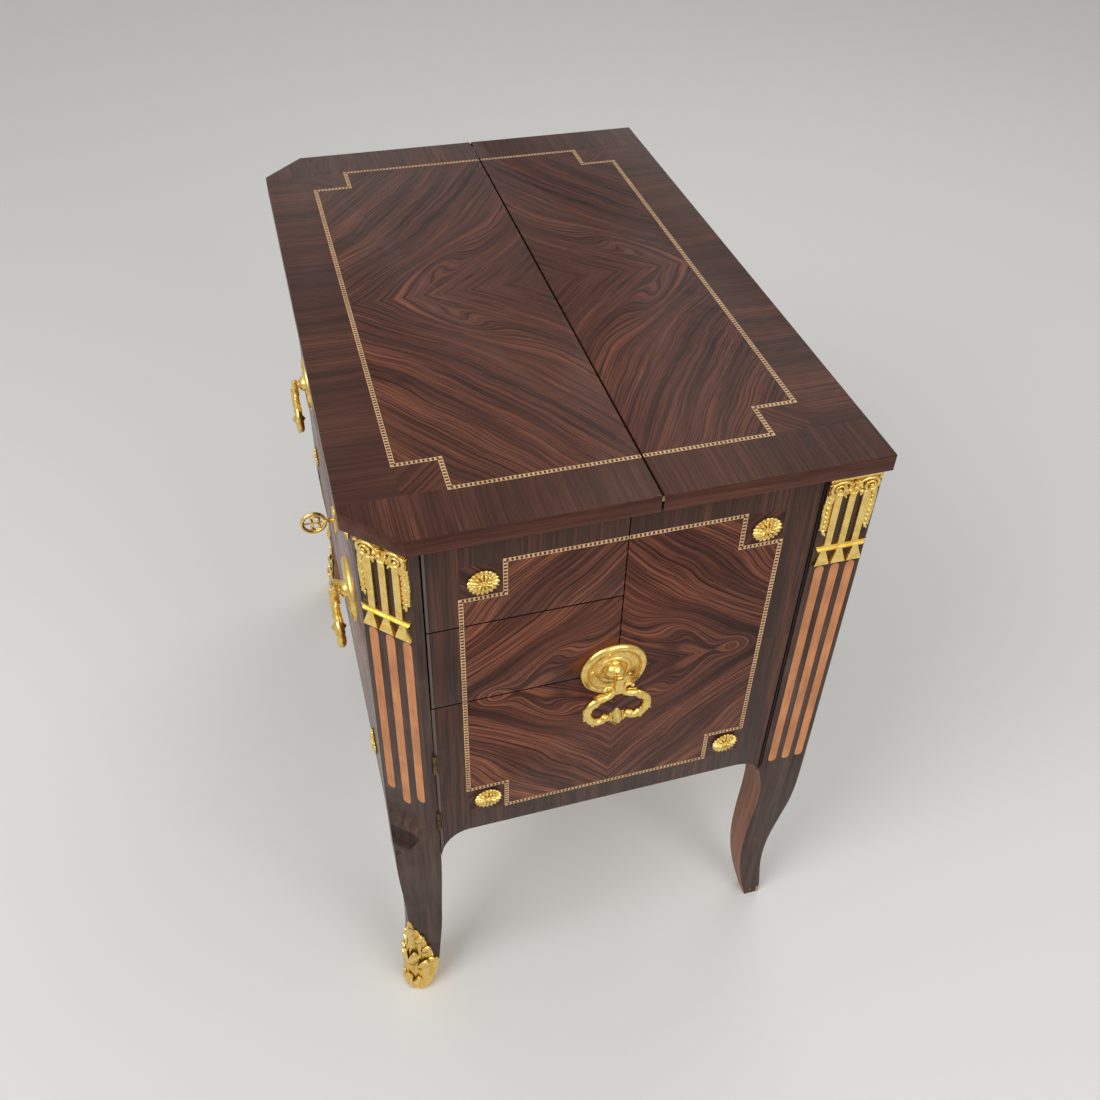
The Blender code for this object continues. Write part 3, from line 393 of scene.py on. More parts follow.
@dataclass(frozen=True)
class Marquetry(Finish):
    """Book-matched veneer field inside crossbanding, as one drawing over the whole face."""

    face: Face = Face.TOP
    match: Point2 = (0.0, (LEAF_FRONT_EDGE + LEAF_REAR_EDGE) / 2)
    centre: Point2 = (0.0, 0.0)
    half: Point2 = TOP_FIELD
    notch: float = TOP_NOTCH
    slope: float = 42.0
    flame: Point2 = (0.066, 0.112)
    knot: Point2 | None = None
    bands: BandGrain = BandGrain.ACROSS
    # lipping: inner edge of a pale strip along the front seam, a painted highlight of the bead there
    lipping: float | None = None
    sway: float = 0.060
    # lift paints a sheen gradient: the tone rises towards one corner of the field, a painted highlight of the polish
    lift: Point2 = (0.045, -0.045)
    seed: float = 2.0
    band: Colour = (0.058, 0.0280, 0.0205)
    muted: float = 0.54
    # ghost: middle of the handle plate whose painted reflection is laid on the veneer
    ghost: Point2 | None = None
    grain: Grain = Grain()

    def make(self, graph: Graph) -> Material:
        """Build the nodes: places, grain directions, colour and polish."""
        place = graph.place()
        u = place[self.face.value[0]]
        v = place[self.face.value[1]]
        from_u = abs(u - self.centre[0])
        from_v = abs(v - self.centre[1])
        inside = from_u.below(self.half[0]) * from_v.below(self.half[1])
        notch = inside * from_u.above(self.half[0] - self.notch) * from_v.above(self.half[1] - self.notch)
        area = inside - notch
        across, along = self.field(graph, abs(u - self.match[0]), abs(v - self.match[1]))
        ends = from_u.above(self.half[0]) * (1.0 if self.bands is BandGrain.ACROSS else 0.0)
        upright = 1.0 - inside - ends
        across = area * across + ends * v + upright * u + notch * (from_u - from_v) * ROOT_HALF
        along = area * along + ends * u + upright * v + notch * (from_u + from_v) * ROOT_HALF
        seed = self.seed + ends * 4.0 + upright * 8.0 + notch * 13.0 + v.above(self.match[1]) * (1.0 - inside) * 2.0
        # Painted sheen: a tone slope across the field, lighter towards the corner where the polish catches the light.
        lift = (u - self.centre[0]) * (self.lift[0] / self.half[0])
        lift = lift + (v - self.centre[1]) * (self.lift[1] / self.half[1])
        colour, tone, pores = self.grain.draw(graph, across, along, seed, lift * area)
        colour = graph.mix((1.0 - area - notch * 0.7) * self.muted, colour, self.band)
        mitre = (abs(u - self.match[0]).below(0.00018) + abs(v - self.match[1]).below(0.00018)).least(1.0)
        colour = graph.mix(mitre * inside * 0.35, colour, JOINT_DARK)
        # Painted light on the front seam: a pale strip stands for the lit bead, and a dark line along its inner edge
        # for the shadow of the groove.
        if self.lipping is not None:
            strip = u.below(self.lipping)
            colour = graph.mix(strip * 0.72, colour, (0.135, 0.108, 0.094))
            colour = graph.mix(abs(u - self.lipping).below(0.0004) * 0.8, colour, JOINT_DARK)
        # Painted reflection: a reddish band beside the handle plate stands for the gilt plate mirrored in the polish.
        if self.ghost is not None:
            off_u, off_v = u - self.ghost[0], v - self.ghost[1]
            aside, onward = off_v * 0.815 - off_u * 0.580, off_v * 0.580 + off_u * 0.815
            trace = aside.rise(0.028, 0.032) * (1.0 - aside.rise(0.0415, 0.0423))
            trace = trace * (1.0 - abs(onward + 0.0023).rise(0.0278, 0.0290))
            colour = graph.mix(trace * 0.85, colour, (0.150, 0.0340, 0.0130))
        haze = graph.noise(graph.point(*place), 9.0, 3.0)
        worn = graph.noise(graph.point(*place), 3.1, 2.0)
        colour = graph.mix(worn.rise(0.45, 0.75) * 0.30, colour, (0.125, 0.062, 0.044))
        rough = 0.25 + (haze - 0.5) * 0.22 + pores * 0.15
        return graph.dress({
            "Base Color": colour, "Roughness": rough, "Specular IOR Level": 0.06,
            "Coat Weight": 0.035, "Coat Roughness": 0.12,
            "Normal": graph.bump(tone * 0.5 - pores * 0.6 + haze * 0.5, 0.00010)})

    def field(self, graph: Graph, u: Value, v: Value) -> tuple[Value, Value]:
        """Coordinates across and along the grain of the book-matched field.

        Args:
            graph: Tree to add the nodes to.
            u: Distance from the upright mirror line.
            v: Distance from the level mirror line.

        Returns:
            The two coordinates, bent by slow waves, round a knot and in loops round a flame.
        """
        tilt = math.radians(self.slope)
        slow = graph.noise(graph.point(u * 4.2, v * 4.2, self.seed), 1.0, 1.0) - 0.5
        middle = graph.noise(graph.point(u * 11.0, v * 11.0, self.seed + 5.0), 1.0, 1.0) - 0.5
        across = ((u + 0.012) ** 0.8 * math.sin(tilt) + (v + 0.012) ** 0.8 * math.cos(tilt)) * 0.87
        across = across + slow * self.sway + middle * 0.016
        along = u * math.cos(tilt) - v * math.sin(tilt)
        off_u, off_v = u - self.flame[0], v - self.flame[1]
        aside = off_u * math.sin(tilt) + off_v * math.cos(tilt) + middle * 0.016
        onward = off_u * math.cos(tilt) - off_v * math.sin(tilt)
        across = across - aside.bell(0.020) * onward.bell(0.062) * 0.030
        if self.knot is not None:
            off_u = (u - self.knot[0]) * 0.75
            off_v = v - self.knot[1]
            across = across - (off_u * off_u + off_v * off_v).root().bell(0.0130) * 0.033
        return across, along


@dataclass(frozen=True)
class PlainWood(Finish):
    """Straight-grained wood whose grain runs along one axis."""

    axis: int = 2
    tones: Tones = POST_TONES
    density: float = 1.0
    polish: float = 0.28
    coat: float = 0.04
    sheen: float = 0.09
    wear: Colour = (0.15, 0.10, 0.08)
    worn: float = 0.25
    seed: float = 0.0

    def make(self, graph: Graph) -> Material:
        """Build the nodes from noises that are drawn out along the axis."""
        place = list(graph.place())
        fine = [p * 160.0 * self.density for p in place]
        thin = [p * 620.0 * self.density for p in place]
        fine[self.axis] = place[self.axis] * 5.0 + self.seed
        thin[self.axis] = place[self.axis] * 20.0 + self.seed
        broad = [p * 34.0 * self.density for p in place]
        broad[self.axis] = place[self.axis] * 2.0 + self.seed
        low = graph.noise(graph.point(*broad), 1.0, 2.0)
        streak = graph.noise(graph.point(*fine), 1.0, 3.0, 0.6)
        pore = graph.noise(graph.point(*thin), 1.0, 2.0, 0.6)
        tone = (low - 0.5) * 0.8 + (streak - 0.5) * 1.0 + (pore - 0.5) * 0.6 + 0.5
        pores = pore.rise(0.60, 0.72)
        rubbed = graph.noise(graph.point(*place), 22.0, 3.0).rise(0.48, 0.72)
        colour = graph.ramp(tone, self.tones)
        colour = graph.mix(pores * 0.4, colour, (0.010, 0.007, 0.006))
        colour = graph.mix(rubbed * self.worn, colour, self.wear)
        return graph.dress({
            "Base Color": colour, "Roughness": self.polish + rubbed * 0.14 + pores * 0.12,
            "Specular IOR Level": self.sheen, "Coat Weight": self.coat, "Coat Roughness": 0.18,
            "Normal": graph.bump(tone * 0.6 - pores * 0.5, 0.00012)})


@dataclass(frozen=True)
class GiltBronze(Finish):
    """Mercury-gilt bronze, bright on its high parts and brown in its hollows."""

    bright: Colour = (0.77, 0.525, 0.138)
    pale: Colour = (0.88, 0.650, 0.220)
    brown: Colour = (0.105, 0.064, 0.018)
    rough: float = 0.27

    def make(self, graph: Graph) -> Material:
        """Build the nodes: gilding, patina in hollows, chasing marks."""
        place = graph.place()
        at = graph.point(*place)
        hollow = graph.attribute("hollow")
        cloud = graph.noise(at, 120.0, 3.0)
        spots = graph.noise(at, 700.0, 2.0)
        colour = graph.mix(cloud.rise(0.36, 0.62), self.bright, self.pale)
        colour = graph.mix(spots.rise(0.56, 0.72) * 0.25, colour, (0.60, 0.37, 0.100))
        dirt = (hollow + (cloud - 0.5) * 0.35).rise(0.30, 0.85)
        colour = graph.mix(dirt, colour, self.brown)
        return graph.dress({
            "Base Color": colour, "Metallic": 1.0 - dirt * 0.35,
            "Roughness": self.rough + dirt * 0.30 + (spots - 0.5) * 0.12,
            "Normal": graph.bump(spots * 0.6 + cloud * 0.8, 0.00008)})


@dataclass(frozen=True)
class Metal(Finish):
    """Brass or iron of hinges and lock, with tarnish."""

    bright: Colour = (0.62, 0.45, 0.19)
    tarnish: Colour = (0.26, 0.17, 0.075)
    rough: float = 0.32

    def make(self, graph: Graph) -> Material:
        """Build the nodes: tarnish in clouds and fine file marks."""
        place = graph.place()
        cloud = graph.noise(graph.point(*place), 90.0, 3.0).rise(0.40, 0.68)
        marks = graph.noise(graph.point(place[0] * 300.0, place[1] * 300.0, place[2] * 2600.0), 1.0, 2.0)
        return graph.dress({
            "Base Color": graph.mix(cloud, self.bright, self.tarnish), "Metallic": 1.0 - cloud * 0.2,
            "Roughness": self.rough + cloud * 0.2 + (marks - 0.5) * 0.12,
            "Normal": graph.bump(marks, 0.00004)})


@dataclass(frozen=True)
class Inlay(Finish):
    """Pale or dark wood of the stringing and the flutes."""

    light: Colour = (0.60, 0.30, 0.135)
    deep: Colour = (0.36, 0.150, 0.062)

    def make(self, graph: Graph) -> Material:
        """Build the nodes: tight upright grain with slow changes of tone."""
        place = graph.place()
        grain = graph.noise(graph.point(place[0] * 700.0, place[1] * 700.0, place[2] * 26.0), 1.0, 2.0)
        slow = graph.noise(graph.point(*place), 26.0, 2.0)
        tone = (grain - 0.5) * 1.3 + (slow - 0.5) * 1.5 + 0.55
        colour = graph.ramp(tone, ((0.0, self.deep), (1.0, self.light)))
        return graph.dress({
            "Base Color": colour, "Roughness": 0.30 + slow * 0.12, "Specular IOR Level": 0.16,
            "Coat Weight": 0.05, "Coat Roughness": 0.16, "Normal": graph.bump(grain, 0.00005)})


@dataclass(frozen=True)
class Hide(Finish):
    """Leather of the writing bed."""

    light: Colour = (0.150, 0.046, 0.026)
    deep: Colour = (0.060, 0.018, 0.012)

    def make(self, graph: Graph) -> Material:
        """Build the nodes: pebbled grain and rubbed patches."""
        place = graph.place()
        at = graph.point(*place)
        pebble = graph.cells(at, 900.0)
        patch = graph.noise(at, 14.0, 4.0)
        colour = graph.mix(patch.rise(0.35, 0.70), self.deep, self.light)
        colour = graph.mix(pebble.rise(0.30, 0.75) * 0.35, colour, (0.03, 0.010, 0.007))
        return graph.dress({
            "Base Color": colour, "Roughness": 0.48 + patch * 0.18, "Specular IOR Level": 0.35,
            "Normal": graph.bump(1.0 - pebble, 0.00020)})


@dataclass(frozen=True)
class PaleFloor(Finish):
    """Plain studio floor."""

    tint: Colour = (0.80, 0.80, 0.79)

    def make(self, graph: Graph) -> Material:
        """Build the nodes: an even pale tone with a trace of cloud."""
        cloud = graph.noise(graph.point(*graph.place()), 0.8, 2.0)
        colour = graph.mix(cloud * 0.04, self.tint, (0.72, 0.72, 0.71))
        return graph.dress({"Base Color": colour, "Roughness": 0.85, "Specular IOR Level": 0.1})


TOP_GRAIN = Grain(broad=24.0, level=0.475, contrast=0.66, line=480.0)
END_GRAIN = Grain(broad=28.0, streak=105.0, line=500.0, level=0.565, contrast=0.92)
UPRIGHT_FIELD = {
    "match": (0.0, MATCH_Z), "centre": (0.0, FIELD_Z), "notch": NOTCH, "bands": BandGrain.UPRIGHT, "slope": 39.0,
    "band": (0.047, 0.0335, 0.0275), "muted": 0.68, "grain": END_GRAIN}
TOP_VENEER = Marquetry("look_top_veneer", grain=TOP_GRAIN)
END_VENEER = Marquetry(
    "look_end_veneer", face=Face.END, half=END_FIELD, flame=(0.070, 0.046), knot=(0.134, 0.004),
    lift=(-0.045, -0.020), lipping=-0.1928, ghost=HANDLE_SPOT, seed=31.0, **UPRIGHT_FIELD)
FRONT_VENEER = Marquetry(
    "look_front_veneer", face=Face.FRONT, half=FRONT_FIELD, flame=(0.090, 0.060), knot=(0.170, 0.004),
    seed=57.0, **UPRIGHT_FIELD)
EDGE_X = PlainWood("look_edge_long", axis=0, worn=0.12, wear=(0.17, 0.070, 0.042), tones=(
    (0.0, (0.019, 0.0075, 0.0053)), (0.4, (0.060, 0.0210, 0.0138)),
    (0.75, (0.115, 0.0405, 0.0255)), (1.0, (0.190, 0.0700, 0.0430))))
EDGE_Y = replace(EDGE_X, name="look_edge_deep", axis=1)
# Near-black wood on the narrow edges of the end and door boards and on the rear bead: painted shade of the narrow gaps
# and of the groove.
EDGE_PAINTED_SHADE = PlainWood("look_edge_shade", worn=0.10, wear=(0.05, 0.026, 0.019), tones=(
    (0.0, (0.006, 0.0035, 0.0030)), (0.5, (0.014, 0.0080, 0.0065)), (1.0, (0.030, 0.0165, 0.0130))))
POST_WOOD = PlainWood("look_post_wood", sheen=0.13)
# Darker copy of the post wood for the downward tongue facet: painted shade.
TONGUE_PAINTED_SHADE = PlainWood("look_tongue_wood", sheen=0.10, worn=0.08, wear=(0.06, 0.034, 0.026), tones=(
    (0.0, (0.010, 0.0055, 0.0045)), (0.5, (0.031, 0.0160, 0.0125)), (1.0, (0.064, 0.035, 0.028))))
BARE_WOOD = PlainWood("look_bare_wood", polish=0.5, coat=0.0, worn=0.35, wear=(0.33, 0.175, 0.125), tones=(
    (0.0, (0.150, 0.072, 0.047)), (0.5, (0.270, 0.132, 0.088)), (1.0, (0.39, 0.21, 0.145))))
OAK_X = PlainWood("look_oak_long", axis=0, density=0.6, polish=0.55, coat=0.0, wear=(0.20, 0.115, 0.055), tones=(
    (0.0, (0.120, 0.065, 0.030)), (0.4, (0.235, 0.135, 0.064)), (0.75, (0.330, 0.205, 0.105)),
    (1.0, (0.410, 0.270, 0.150))))
OAK_Z = replace(OAK_X, name="look_oak_upright", axis=2, seed=9.0)
OAK_END = PlainWood("look_oak_end", axis=1, density=1.6, polish=0.6, coat=0.0, wear=(0.12, 0.066, 0.030), tones=(
    (0.0, (0.055, 0.028, 0.013)), (0.5, (0.125, 0.068, 0.031)), (1.0, (0.210, 0.125, 0.064))))
GILT = GiltBronze("look_gilt")
WORN_GILT = GiltBronze("look_worn_gilt", bright=(0.74, 0.52, 0.19), pale=(0.82, 0.66, 0.38), rough=0.32)
BRASS = Metal("look_brass", bright=(0.50, 0.35, 0.14), tarnish=(0.17, 0.105, 0.045))
BRONZE = Metal("look_bronze", bright=(0.17, 0.100, 0.045), tarnish=(0.060, 0.035, 0.018), rough=0.42)
IRON = Metal("look_iron", bright=(0.34, 0.33, 0.32), tarnish=(0.15, 0.115, 0.090), rough=0.38)
STRING_LIGHT = Inlay("look_string_light", light=(0.74, 0.46, 0.24), deep=(0.50, 0.27, 0.125))
# Dark inlay of the stringing and flute lines, also used as painted shadow on the floor of the rear groove.
STRING_DARK_AND_SHADOW = Inlay("look_string_dark", light=(0.050, 0.026, 0.019), deep=(0.014, 0.008, 0.006))
FLUTE_WOOD = Inlay("look_flute_wood", light=(0.65, 0.275, 0.110), deep=(0.36, 0.133, 0.050))
LEATHER = Hide("look_leather")
FLOOR = PaleFloor("look_floor")


class Side(Enum):
    """Right or left half of the desk."""

    RIGHT = 1
    LEFT = -1

    @property
    def hand(self) -> str:
        """Name used in the pieces' names."""
        return self.name.lower()


def frame_of(u: Point3, v: Point3, w: Point3, origin: Point3) -> Matrix:
    """Matrix that takes local u, v, w to the given directions at an origin."""
    return Matrix([[u[row], v[row], w[row], origin[row]] for row in range(3)] + [[0.0, 0.0, 0.0, 1.0]])


TOP_FRAME = frame_of((1, 0, 0), (0, 1, 0), (0, 0, 1), (0, 0, TOP))
END_FRAME = frame_of((0, 1, 0), (0, 0, 1), (1, 0, 0), (BODY_X, 0, 0))
FRONT_FRAME = frame_of((1, 0, 0), (0, 0, 1), (0, -1, 0), (0, BODY_FRONT, 0))
CANT_FRAME = frame_of((ROOT_HALF, ROOT_HALF, 0), (0, 0, 1), (ROOT_HALF, -ROOT_HALF, 0),
                      (BODY_X - CANT / 2, BODY_FRONT + CANT / 2, 0))


def seat(frame: Matrix, u: float, v: float, w: float = 0.0) -> Matrix:
    """Frame moved to a place on its own plane."""
    return frame @ Matrix.Translation((u, v, w))


def shift(u: float, v: float, w: float = 0.0, angle: float = 0.0) -> Matrix:
    """Place given in millimetres, turned about w by an angle in degrees."""
    return Matrix.Translation((u * MM, v * MM, w * MM)) @ Matrix.Rotation(math.radians(angle), 4, "Z")


def in_metres(points: Iterable[Sequence[float]]) -> list[tuple[float, ...]]:
    """Points in metres from points in millimetres."""
    return [tuple(c * MM for c in p) for p in points]


def around(radius: float, count: int) -> list[Point2]:
    """Points evenly round a circle."""
    return [(radius * math.cos(math.tau * k / count), radius * math.sin(math.tau * k / count)) for k in range(count)]


def arc(centre: Point2, radii: Point2, start: float, end: float, count: int) -> list[Point2]:
    """Points on an elliptic arc.

    Args:
        centre: Middle of the ellipse.
        radii: Its two radii.
        start: First angle in degrees.
        end: Last angle.
        count: Steps between them.

    Returns:
        One point more than there are steps.
    """
    angles = [math.radians(start + (end - start) * i / count) for i in range(count + 1)]
    return [(centre[0] + radii[0] * math.cos(a), centre[1] + radii[1] * math.sin(a)) for a in angles]


def eased(stations: Stations, t: float) -> float:
    """Smooth curve through stations.

    Args:
        stations: Places with the value at each, in rising order.
        t: Place to read the curve at.

    Returns:
        The value there.
    """
    last = len(stations) - 1
    for i in range(last):
        (t0, a), (t1, b) = stations[i], stations[i + 1]
        if t <= t1:
            before, after = stations[max(i - 1, 0)], stations[min(i + 2, last)]
            gap = t1 - t0
            s = max(0.0, (t - t0) / gap)
            lean = (b - before[1]) / (t1 - before[0]) * gap
            next_lean = (after[1] - a) / (after[0] - t0) * gap
            swell = s * s * (3 - 2 * s)
            return a + (b - a) * swell + lean * s * (1 - s) ** 2 - next_lean * s * s * (1 - s)
    return stations[-1][1]


def stepped(low: float, high: float, t: float) -> float:
    """Smooth step from zero at low to one at high."""
    s = min(max((t - low) / (high - low), 0.0), 1.0)
    return s * s * (3 - 2 * s)


class Shape:
    """Mesh in the making, with the few ways in which the pieces grow."""

    def __init__(self, unit: float = 1.0) -> None:
        """Start with nothing; all sizes are counted in the unit, given in metres."""
        self.bm = bmesh.new()
        self.unit = unit

    def faces(self, points: Sequence[Sequence[float]], loops: Iterable[Sequence[int]],
              finish: int = 0) -> Shape:
        """Add faces.

        Args:
            points: All corners.
            loops: Corners of each face, by their place among the points.
            finish: Place of their finish in the piece's list.

        Returns:
            This shape.
        """
        verts = [self.bm.verts.new([c * self.unit for c in p]) for p in points]
        for loop in loops:
            face = self.bm.faces.new([verts[i] for i in loop])
            face.material_index = finish
        return self

    def prism(self, outline: Sequence[Point2], low: float, high: float, finish: int = 0) -> Shape:
        """Add a board.

        Args:
            outline: Corners, counter-clockwise.
            low: Where the board begins along w.
            high: Where it ends.
            finish: Place of its finish in the piece's list.

        Returns:
            This shape.
        """
        count = len(outline)
        points = [(u, v, w) for w in (low, high) for u, v in outline]
        loops = [list(range(count))[::-1], list(range(count, 2 * count))]
        loops += [[i, (i + 1) % count, count + (i + 1) % count, count + i] for i in range(count)]
        return self.faces(points, loops, finish)

    def box(self, low: Sequence[float], high: Sequence[float], finish: int = 0) -> Shape:
        """Add a block between two corners."""
        return self.prism([(low[0], low[1]), (high[0], low[1]), (high[0], high[1]), (low[0], high[1])],
                          low[2], high[2], finish)

    def rings(self, rings: Sequence[Sequence[Sequence[float]]], finish: int = 0, capped: bool = True) -> Shape:
        """Add a skin over rings of points.

        Args:
            rings: Rings with the same number of points each.
            finish: Place of its finish in the piece's list.
            capped: Whether the first and last ring get a face, or else the last ring is joined to the first.

        Returns:
            This shape.
        """
        size = len(rings[0])
        if not capped:
            rings = [*rings, rings[0]]
        points = [p for ring in rings for p in ring]
        loops: list[list[int]] = []
        for r in range(len(rings) - 1):
            for i in range(size):
                j = (i + 1) % size
                loops.append([r * size + i, r * size + j, (r + 1) * size + j, (r + 1) * size + i])
        if capped:
            loops.append(list(range(size))[::-1])
            loops.append([(len(rings) - 1) * size + i for i in range(size)])
        return self.faces(points, loops, finish)

    def turned(self, profile: Sequence[Point2], steps: int = 48) -> Shape:
        """Add a turned form about w from radius and height, foot to tip."""
        return self.rings([[(u, v, height) for u, v in around(max(radius, 1e-6), steps)]
                           for radius, height in profile])

    def tube(self, path: Sequence[Sequence[float]], radii: Sequence[float], sides: int = 12, finish: int = 0,
             ribs: float = 0.0, rib_count: float = 0.0) -> Shape:
        """Add a swept rod.

        Args:
            path: Points of its middle line.
            radii: Radius at each point.
            sides: Faces round the rod.
            finish: Place of its finish in the piece's list.
            ribs: Height of chased ribs as a share of the radius.
            rib_count: Ribs along the whole rod.

        Returns:
            This shape.
        """
        points = [Vector(p) for p in path]
        rings = []
        side = None
        for i, p in enumerate(points):
            ahead = (points[min(i + 1, len(points) - 1)] - points[max(i - 1, 0)]).normalized()
            if side is None:
                side = ahead.orthogonal().normalized()
            side = (side - ahead * side.dot(ahead)).normalized()
            other = ahead.cross(side)
            ring = []
            for k in range(sides):
                angle = math.tau * k / sides
                swell = 1.0 + ribs * abs(math.sin(rib_count * math.pi * i / len(points) + angle))
                ring.append(p + (side * math.cos(angle) + other * math.sin(angle)) * radii[i] * swell)
            rings.append(ring)
        return self.rings(rings, finish)

    def ball(self, at: Sequence[float], radius: float, steps: int = 10) -> Shape:
        """Add a bead.

        Args:
            at: Its middle.
            radius: Its radius.
            steps: Faces from pole to pole.

        Returns:
            This shape.
        """
        rings = []
        for i in range(steps + 1):
            angle = math.pi * i / steps
            size = max(math.sin(angle), 1e-4) * radius
            rings.append([(at[0] + u, at[1] + v, at[2] - math.cos(angle) * radius) for u, v in around(size, 12)])
        return self.rings(rings)

    def slab(self, low: Point2, high: Point2, top: float, edge: float) -> Shape:
        """Add a block that stands on w = 0.

        Args:
            low: One corner of its foot.
            high: Corner opposite.
            top: Its height.
            edge: How far its upper edges are cut back.

        Returns:
            This shape.
        """
        rings = []
        for inset, height in ((0.0, 0.0), (0.0, top - edge), (edge, top)):
            u0, v0, u1, v1 = low[0] + inset, low[1] + inset, high[0] - inset, high[1] - inset
            rings.append([(u0, v0, height), (u1, v0, height), (u1, v1, height), (u0, v1, height)])
        return self.rings(rings)

    def leaf(self, length: float, width: float, arch: float, curl: float = 0.0, rows: int = 6, columns: int = 4,
             blunt: bool = False) -> Shape:
        """Add a leaf along u that lies on w = 0.

        Args:
            length: From root to tip.
            width: Greatest width.
            arch: Height of its crown.
            curl: Height that the tip is lifted by.
            rows: Faces along the leaf.
            columns: Faces across the leaf.
            blunt: Whether it widens to a round end, or else runs out to a point.

        Returns:
            This shape.
        """
        rings = []
        skin = 0.2 * MM / self.unit
        for i in range(rows + 1):
            s = i / rows
            share = math.sin(math.pi * (0.06 + 0.93 * s ** 0.8)) ** 0.75
            if blunt:
                share = 0.45 + 0.70 * s if s < 0.78 else math.sqrt(max(1.0 - ((s - 0.78) / 0.22) ** 2, 0.0))
            half = width / 2 * max(share, 0.02)
            ring = []
            for k in range(columns + 1):
                t = 2 * k / columns - 1
                rib = 0.22 * max(0.0, 1 - abs(t) * 4)
                crown = arch * ((1 - t * t) ** 0.8 * (0.55 + 0.45 * math.sin(math.pi * s)) - rib) + curl * s * s
                ring.append((length * s, half * t, max(crown, 0.0) + skin))
            rings.append(ring + [(length * s, half, -skin), (length * s, -half, -skin)])
        return self.rings(rings)

    def add(self, other: Mesh | Shape, place: Matrix = Matrix()) -> Shape:
        """Add a copy of another shape or mesh.

        Args:
            other: What is added; a shape is used up by it.
            place: Where it goes, in metres.

        Returns:
            This shape.
        """
        mesh = other if isinstance(other, Mesh) else other.as_mesh("part")
        copy = mesh.copy()
        copy.transform(place)
        self.bm.from_mesh(copy)
        bpy.data.meshes.remove(copy)
        if mesh is not other:
            bpy.data.meshes.remove(mesh)
        return self

    def moved(self, place: Matrix) -> Shape:
        """Move the whole shape."""
        bmesh.ops.transform(self.bm, matrix=place, verts=self.bm.verts)
        return self

    def sided(self, side: Side) -> Shape:
        """Mirror the shape for the left half."""
        if side is Side.LEFT:
            self.moved(Matrix.Diagonal((-1.0, 1.0, 1.0, 1.0)))
            bmesh.ops.reverse_faces(self.bm, faces=self.bm.faces)
        return self

    def merged(self) -> Shape:
        """Close seams and turn the faces outward."""
        bmesh.ops.remove_doubles(self.bm, verts=self.bm.verts, dist=1e-6)
        bmesh.ops.dissolve_degenerate(self.bm, dist=1e-7, edges=self.bm.edges)
        bmesh.ops.recalc_face_normals(self.bm, faces=self.bm.faces)
        return self

    def as_mesh(self, name: str) -> Mesh:
        """Plain mesh of the shape, which is used up."""
        mesh = bpy.data.meshes.new(name)
        self.bm.to_mesh(mesh)
        self.bm.free()
        return mesh


class Recipe(NodeKit):
    """Geometry Nodes tree that sets out copies of one shape."""

    def __init__(self, name: str, entries: dict[str, str]) -> None:
        """Make the tree with its named inputs."""
        super().__init__(bpy.data.node_groups.new(name, "GeometryNodeTree"))
        sockets = self.tree.interface
        sockets.new_socket("Geometry", in_out="INPUT", socket_type="NodeSocketGeometry")
        sockets.new_socket("Geometry", in_out="OUTPUT", socket_type="NodeSocketGeometry")
        for label, kind in entries.items():
            sockets.new_socket(label, in_out="INPUT", socket_type=kind)
        self.entry = self.node("NodeGroupInput").outputs

    def index(self) -> Value:
        """Number of each copy."""
        return Value(self, self.node("GeometryNodeInputIndex").outputs[0])

    def close(self, copies: Socket) -> None:
        """End the tree with real faces and their finish."""
        real = self.node("GeometryNodeRealizeInstances", sockets={0: copies})
        dressed = self.node("GeometryNodeSetMaterial",
                            sockets={"Geometry": real.outputs[0], "Material": self.entry["Finish"]})
        self.node("NodeGroupOutput", sockets={0: dressed.outputs[0]})

    def grow(self, host: Piece, values: dict[str, object]) -> None:
        """Put the tree on an object and set its inputs by identifier."""
        modifier = host.modifiers.new("grow", "NODES")
        modifier.node_group = self.tree
        for item in self.tree.interface.items_tree:
            if item.in_out == "INPUT" and item.name in values:
                modifier[item.identifier] = values[item.name]


class RunRecipe(Recipe):
    """Copies along the runs of a wire, turned with it and swayed to either side in turn."""

    def __init__(self) -> None:
        """Build the tree."""
        super().__init__("copies_on_runs", {
            "Shape": "NodeSocketObject", "Pitch": "NodeSocketFloat", "Sway": "NodeSocketFloat",
            "Spread": "NodeSocketFloat", "Finish": "NodeSocketMaterial"})
        curve = self.node("GeometryNodeMeshToCurve", sockets={0: self.entry["Geometry"]})
        spaced = self.node("GeometryNodeResampleCurve", {"mode": "LENGTH"},
                           {"Curve": curve.outputs[0], "Length": self.entry["Pitch"]})
        tangent = self.node("GeometryNodeInputTangent")
        facing = self.node("FunctionNodeAlignRotationToVector", {"axis": "X"}, {"Vector": tangent.outputs[0]})
        turn = (self.math("MODULO", self.index(), 2.0) * 2.0 - 1.0) * self.entry["Sway"]
        euler = self.node("ShaderNodeCombineXYZ", sockets={2: turn})
        swayed = self.node("FunctionNodeRotateRotation", {"rotation_space": "LOCAL"},
                           {"Rotation": facing.outputs[0], "Rotate By": euler.outputs[0]})
        chance = self.node("FunctionNodeRandomValue", {"data_type": "FLOAT"}, {"Seed": 7})
        scale = (Value(self, chance.outputs[1]) - 0.5) * self.entry["Spread"] + 1.0
        shape = self.node("GeometryNodeObjectInfo", sockets={0: self.entry["Shape"]})
        copies = self.node("GeometryNodeInstanceOnPoints", sockets={
            "Points": spaced.outputs[0], "Instance": shape.outputs["Geometry"],
            "Rotation": swayed.outputs[0], "Scale": scale})
        self.close(copies.outputs[0])


